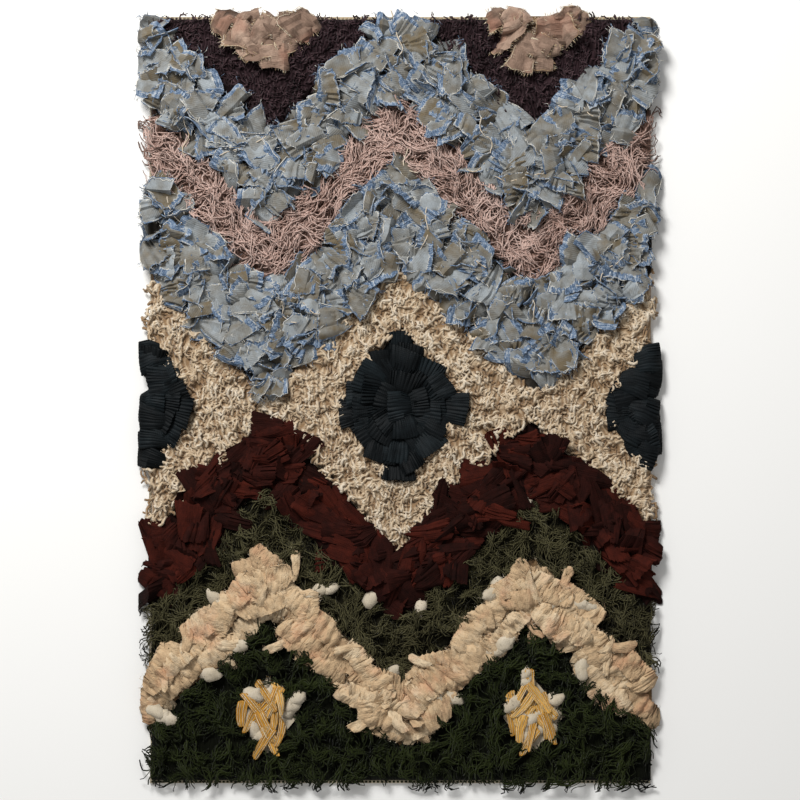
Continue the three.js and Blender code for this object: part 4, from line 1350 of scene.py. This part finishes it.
LUMP_SIZE = (6.5 * MM, 9.5 * MM)
LUMP_STEP = 9.5 * MM  # from one lump of a row to the next
LUMP_TOP = 17 * MM  # the greatest height that a lump is set at
ROWS, ROWS_APART = 15, 45 * MM
BESIDE = 16 * MM  # how near the rags a row starts
HAIRS, HAIR_RADIUS = 26, 0.28 * MM


def places_beside(rng, yarns, rags, count):
    """Places in some fields of yarn that lie close beside fields of rags, well apart."""
    own = np.isin(OWNER, [FIELDS.index(name) for name in yarns])
    other = np.isin(OWNER, [FIELDS.index(name) for name in rags])
    reach = round(BESIDE / MAP_STEP)
    beside = own & (np.roll(other, reach, axis=0) | np.roll(other, -reach, axis=0))
    chosen = []
    for spot in rng.permutation(np.argwhere(beside)):
        place = MAP_LOW + MAP_STEP * spot
        if all(np.hypot(*(place - before)) > ROWS_APART for before in chosen):
            chosen.append(place)
        if len(chosen) == count:
            break
    return np.array(chosen)


def ball_points():
    """The points and triangles of a ball of radius 1, which a lump of wool is shaped from."""
    ball = bmesh.new()
    bmesh.ops.create_icosphere(ball, subdivisions=2, radius=1)
    points = np.array([vertex.co for vertex in ball.verts])
    faces = np.array([[vertex.index for vertex in face.verts] for face in ball.faces])
    ball.free()
    return points, faces


rng = np.random.default_rng(111)
places = np.concatenate((
    places_beside(rng, ["olive_yarn", "green_yarn"], ["maroon_rags", "peach_rags_band"], ROWS),
    scattered(rng, YELLOW_NODES, 20 * MM, 0),
))
ball, faces = ball_points()
tufts, hairs = [], []
for place in places:
    way = rng.uniform(0, math.pi)
    for step in range(rng.integers(1, 5)):
        size = rng.uniform(*LUMP_SIZE) * np.array((rng.uniform(1.2, 1.7), 1, 0.8))
        swell = np.sin(ball @ rng.normal(0, 3, (3, 3)) + rng.uniform(0, 6, 3)).sum(axis=1)
        ripple = np.sin(ball @ rng.normal(0, 8, (3, 4)) + rng.uniform(0, 6, 4)).sum(axis=1)
        tuft = ball * (1 + 0.11 * swell + 0.03 * ripple)[:, None] * size
        tuft = turned_about(tuft, way + rng.normal(0, 0.4), 0)
        spot = place + LUMP_STEP * step * np.array((math.cos(way), math.sin(way)))
        spot = spot + rng.normal(0, 1.5 * MM, 2)
        low = in_fields(spot, YELLOW_NODES)
        high = SEAT + 6 * MM if low else min(HEIGHT[cells_at(spot)], LUMP_TOP) - 1 * MM
        tufts.append(tuft + (*spot, high))
        pick = rng.integers(0, len(ball), HAIRS)
        out = ball[pick] * rng.uniform(0.6 * MM, 2 * MM, (HAIRS, 1))
        bent = [rng.normal(0, 0.9 * MM, (HAIRS, 3)) for _ in range(2)]
        root = tufts[-1][pick]
        hairs.append(np.stack((root - 0.3 * out, root + 0.6 * out + bent[0],
                               root + out + bent[1]), axis=1))
angle = np.arctan2(ball[:, 1], ball[:, 0]) / (2 * math.pi) + 0.5
patch = np.stack((angle, ball[:, 2] / 2 + 0.5), axis=-1)
mesh = joined("white_wool_tufts", np.array(tufts), [faces], [patch[faces]],
              {"shade": np.full((len(tufts), len(ball)), 0.6)})
placed("white_wool_tufts", mesh, white_wool, None)
hairs = np.concatenate(hairs)
hairs[..., 2] = np.maximum(hairs[..., 2], SEAT)
shade = rng.uniform(0.4, 1, len(hairs))
threads_placed("white_wool_hairs", hairs, HAIR_RADIUS, shade, white_wool)


# Floor, light and camera
# A plain pale floor, painted matt. A broad soft light comes from beyond the head of the rug, and the
# camera looks straight down on it.

FLOOR_HALF, FLOOR_GAP = 4, 0.2 * MM
LIGHT_PLACE, LIGHT_SIZE, LIGHT_POWER = Vector((-0.9, 1.7, 2.0)), 1.0, 82
ROOM_LIGHT = 0.38
FRAME_HEIGHT = 1.012  # what the camera takes in, from top to bottom
LENS, SENSOR = 100, 36

scene = bpy.context.scene
shape = bmesh.new()
bmesh.ops.create_grid(shape, x_segments=1, y_segments=1, size=FLOOR_HALF)
bmesh.ops.translate(shape, vec=(0, 0, cad_box[0].z - FLOOR_GAP), verts=shape.verts)
mesh = bpy.data.meshes.new("floor")
shape.to_mesh(mesh)
shape.free()
floor = bpy.data.objects.new("floor", mesh)
scene.collection.objects.link(floor)
# Matt paint on a smooth floor: pale and even, with no reflection.
paint = started("pale_floor_paint")
finished(paint, linear("#f4f3f0"), (0, 0, 0), roughness=0.9, sheen=0)
mesh.materials.append(paint)

world = bpy.data.worlds.new("studio")
world.use_nodes = True
world.node_tree.nodes["Background"].inputs["Color"].default_value = (1, 1, 1, 1)
world.node_tree.nodes["Background"].inputs["Strength"].default_value = ROOM_LIGHT
scene.world = world
scene.view_settings.view_transform = "Standard"

lamp = bpy.data.lights.new("window", "AREA")
lamp.shape, lamp.size, lamp.energy = "DISK", LIGHT_SIZE, LIGHT_POWER
light = bpy.data.objects.new("window", lamp)
light.location = LIGHT_PLACE
light.rotation_euler = (-LIGHT_PLACE).to_track_quat("-Z", "Y").to_euler()
scene.collection.objects.link(light)

camera_data = bpy.data.cameras.new("camera")
camera_data.lens, camera_data.sensor_width = LENS, SENSOR
camera = bpy.data.objects.new("camera", camera_data)
camera.location = (0, 0, FRAME_HEIGHT * LENS / SENSOR)
scene.collection.objects.link(camera)
scene.camera = camera
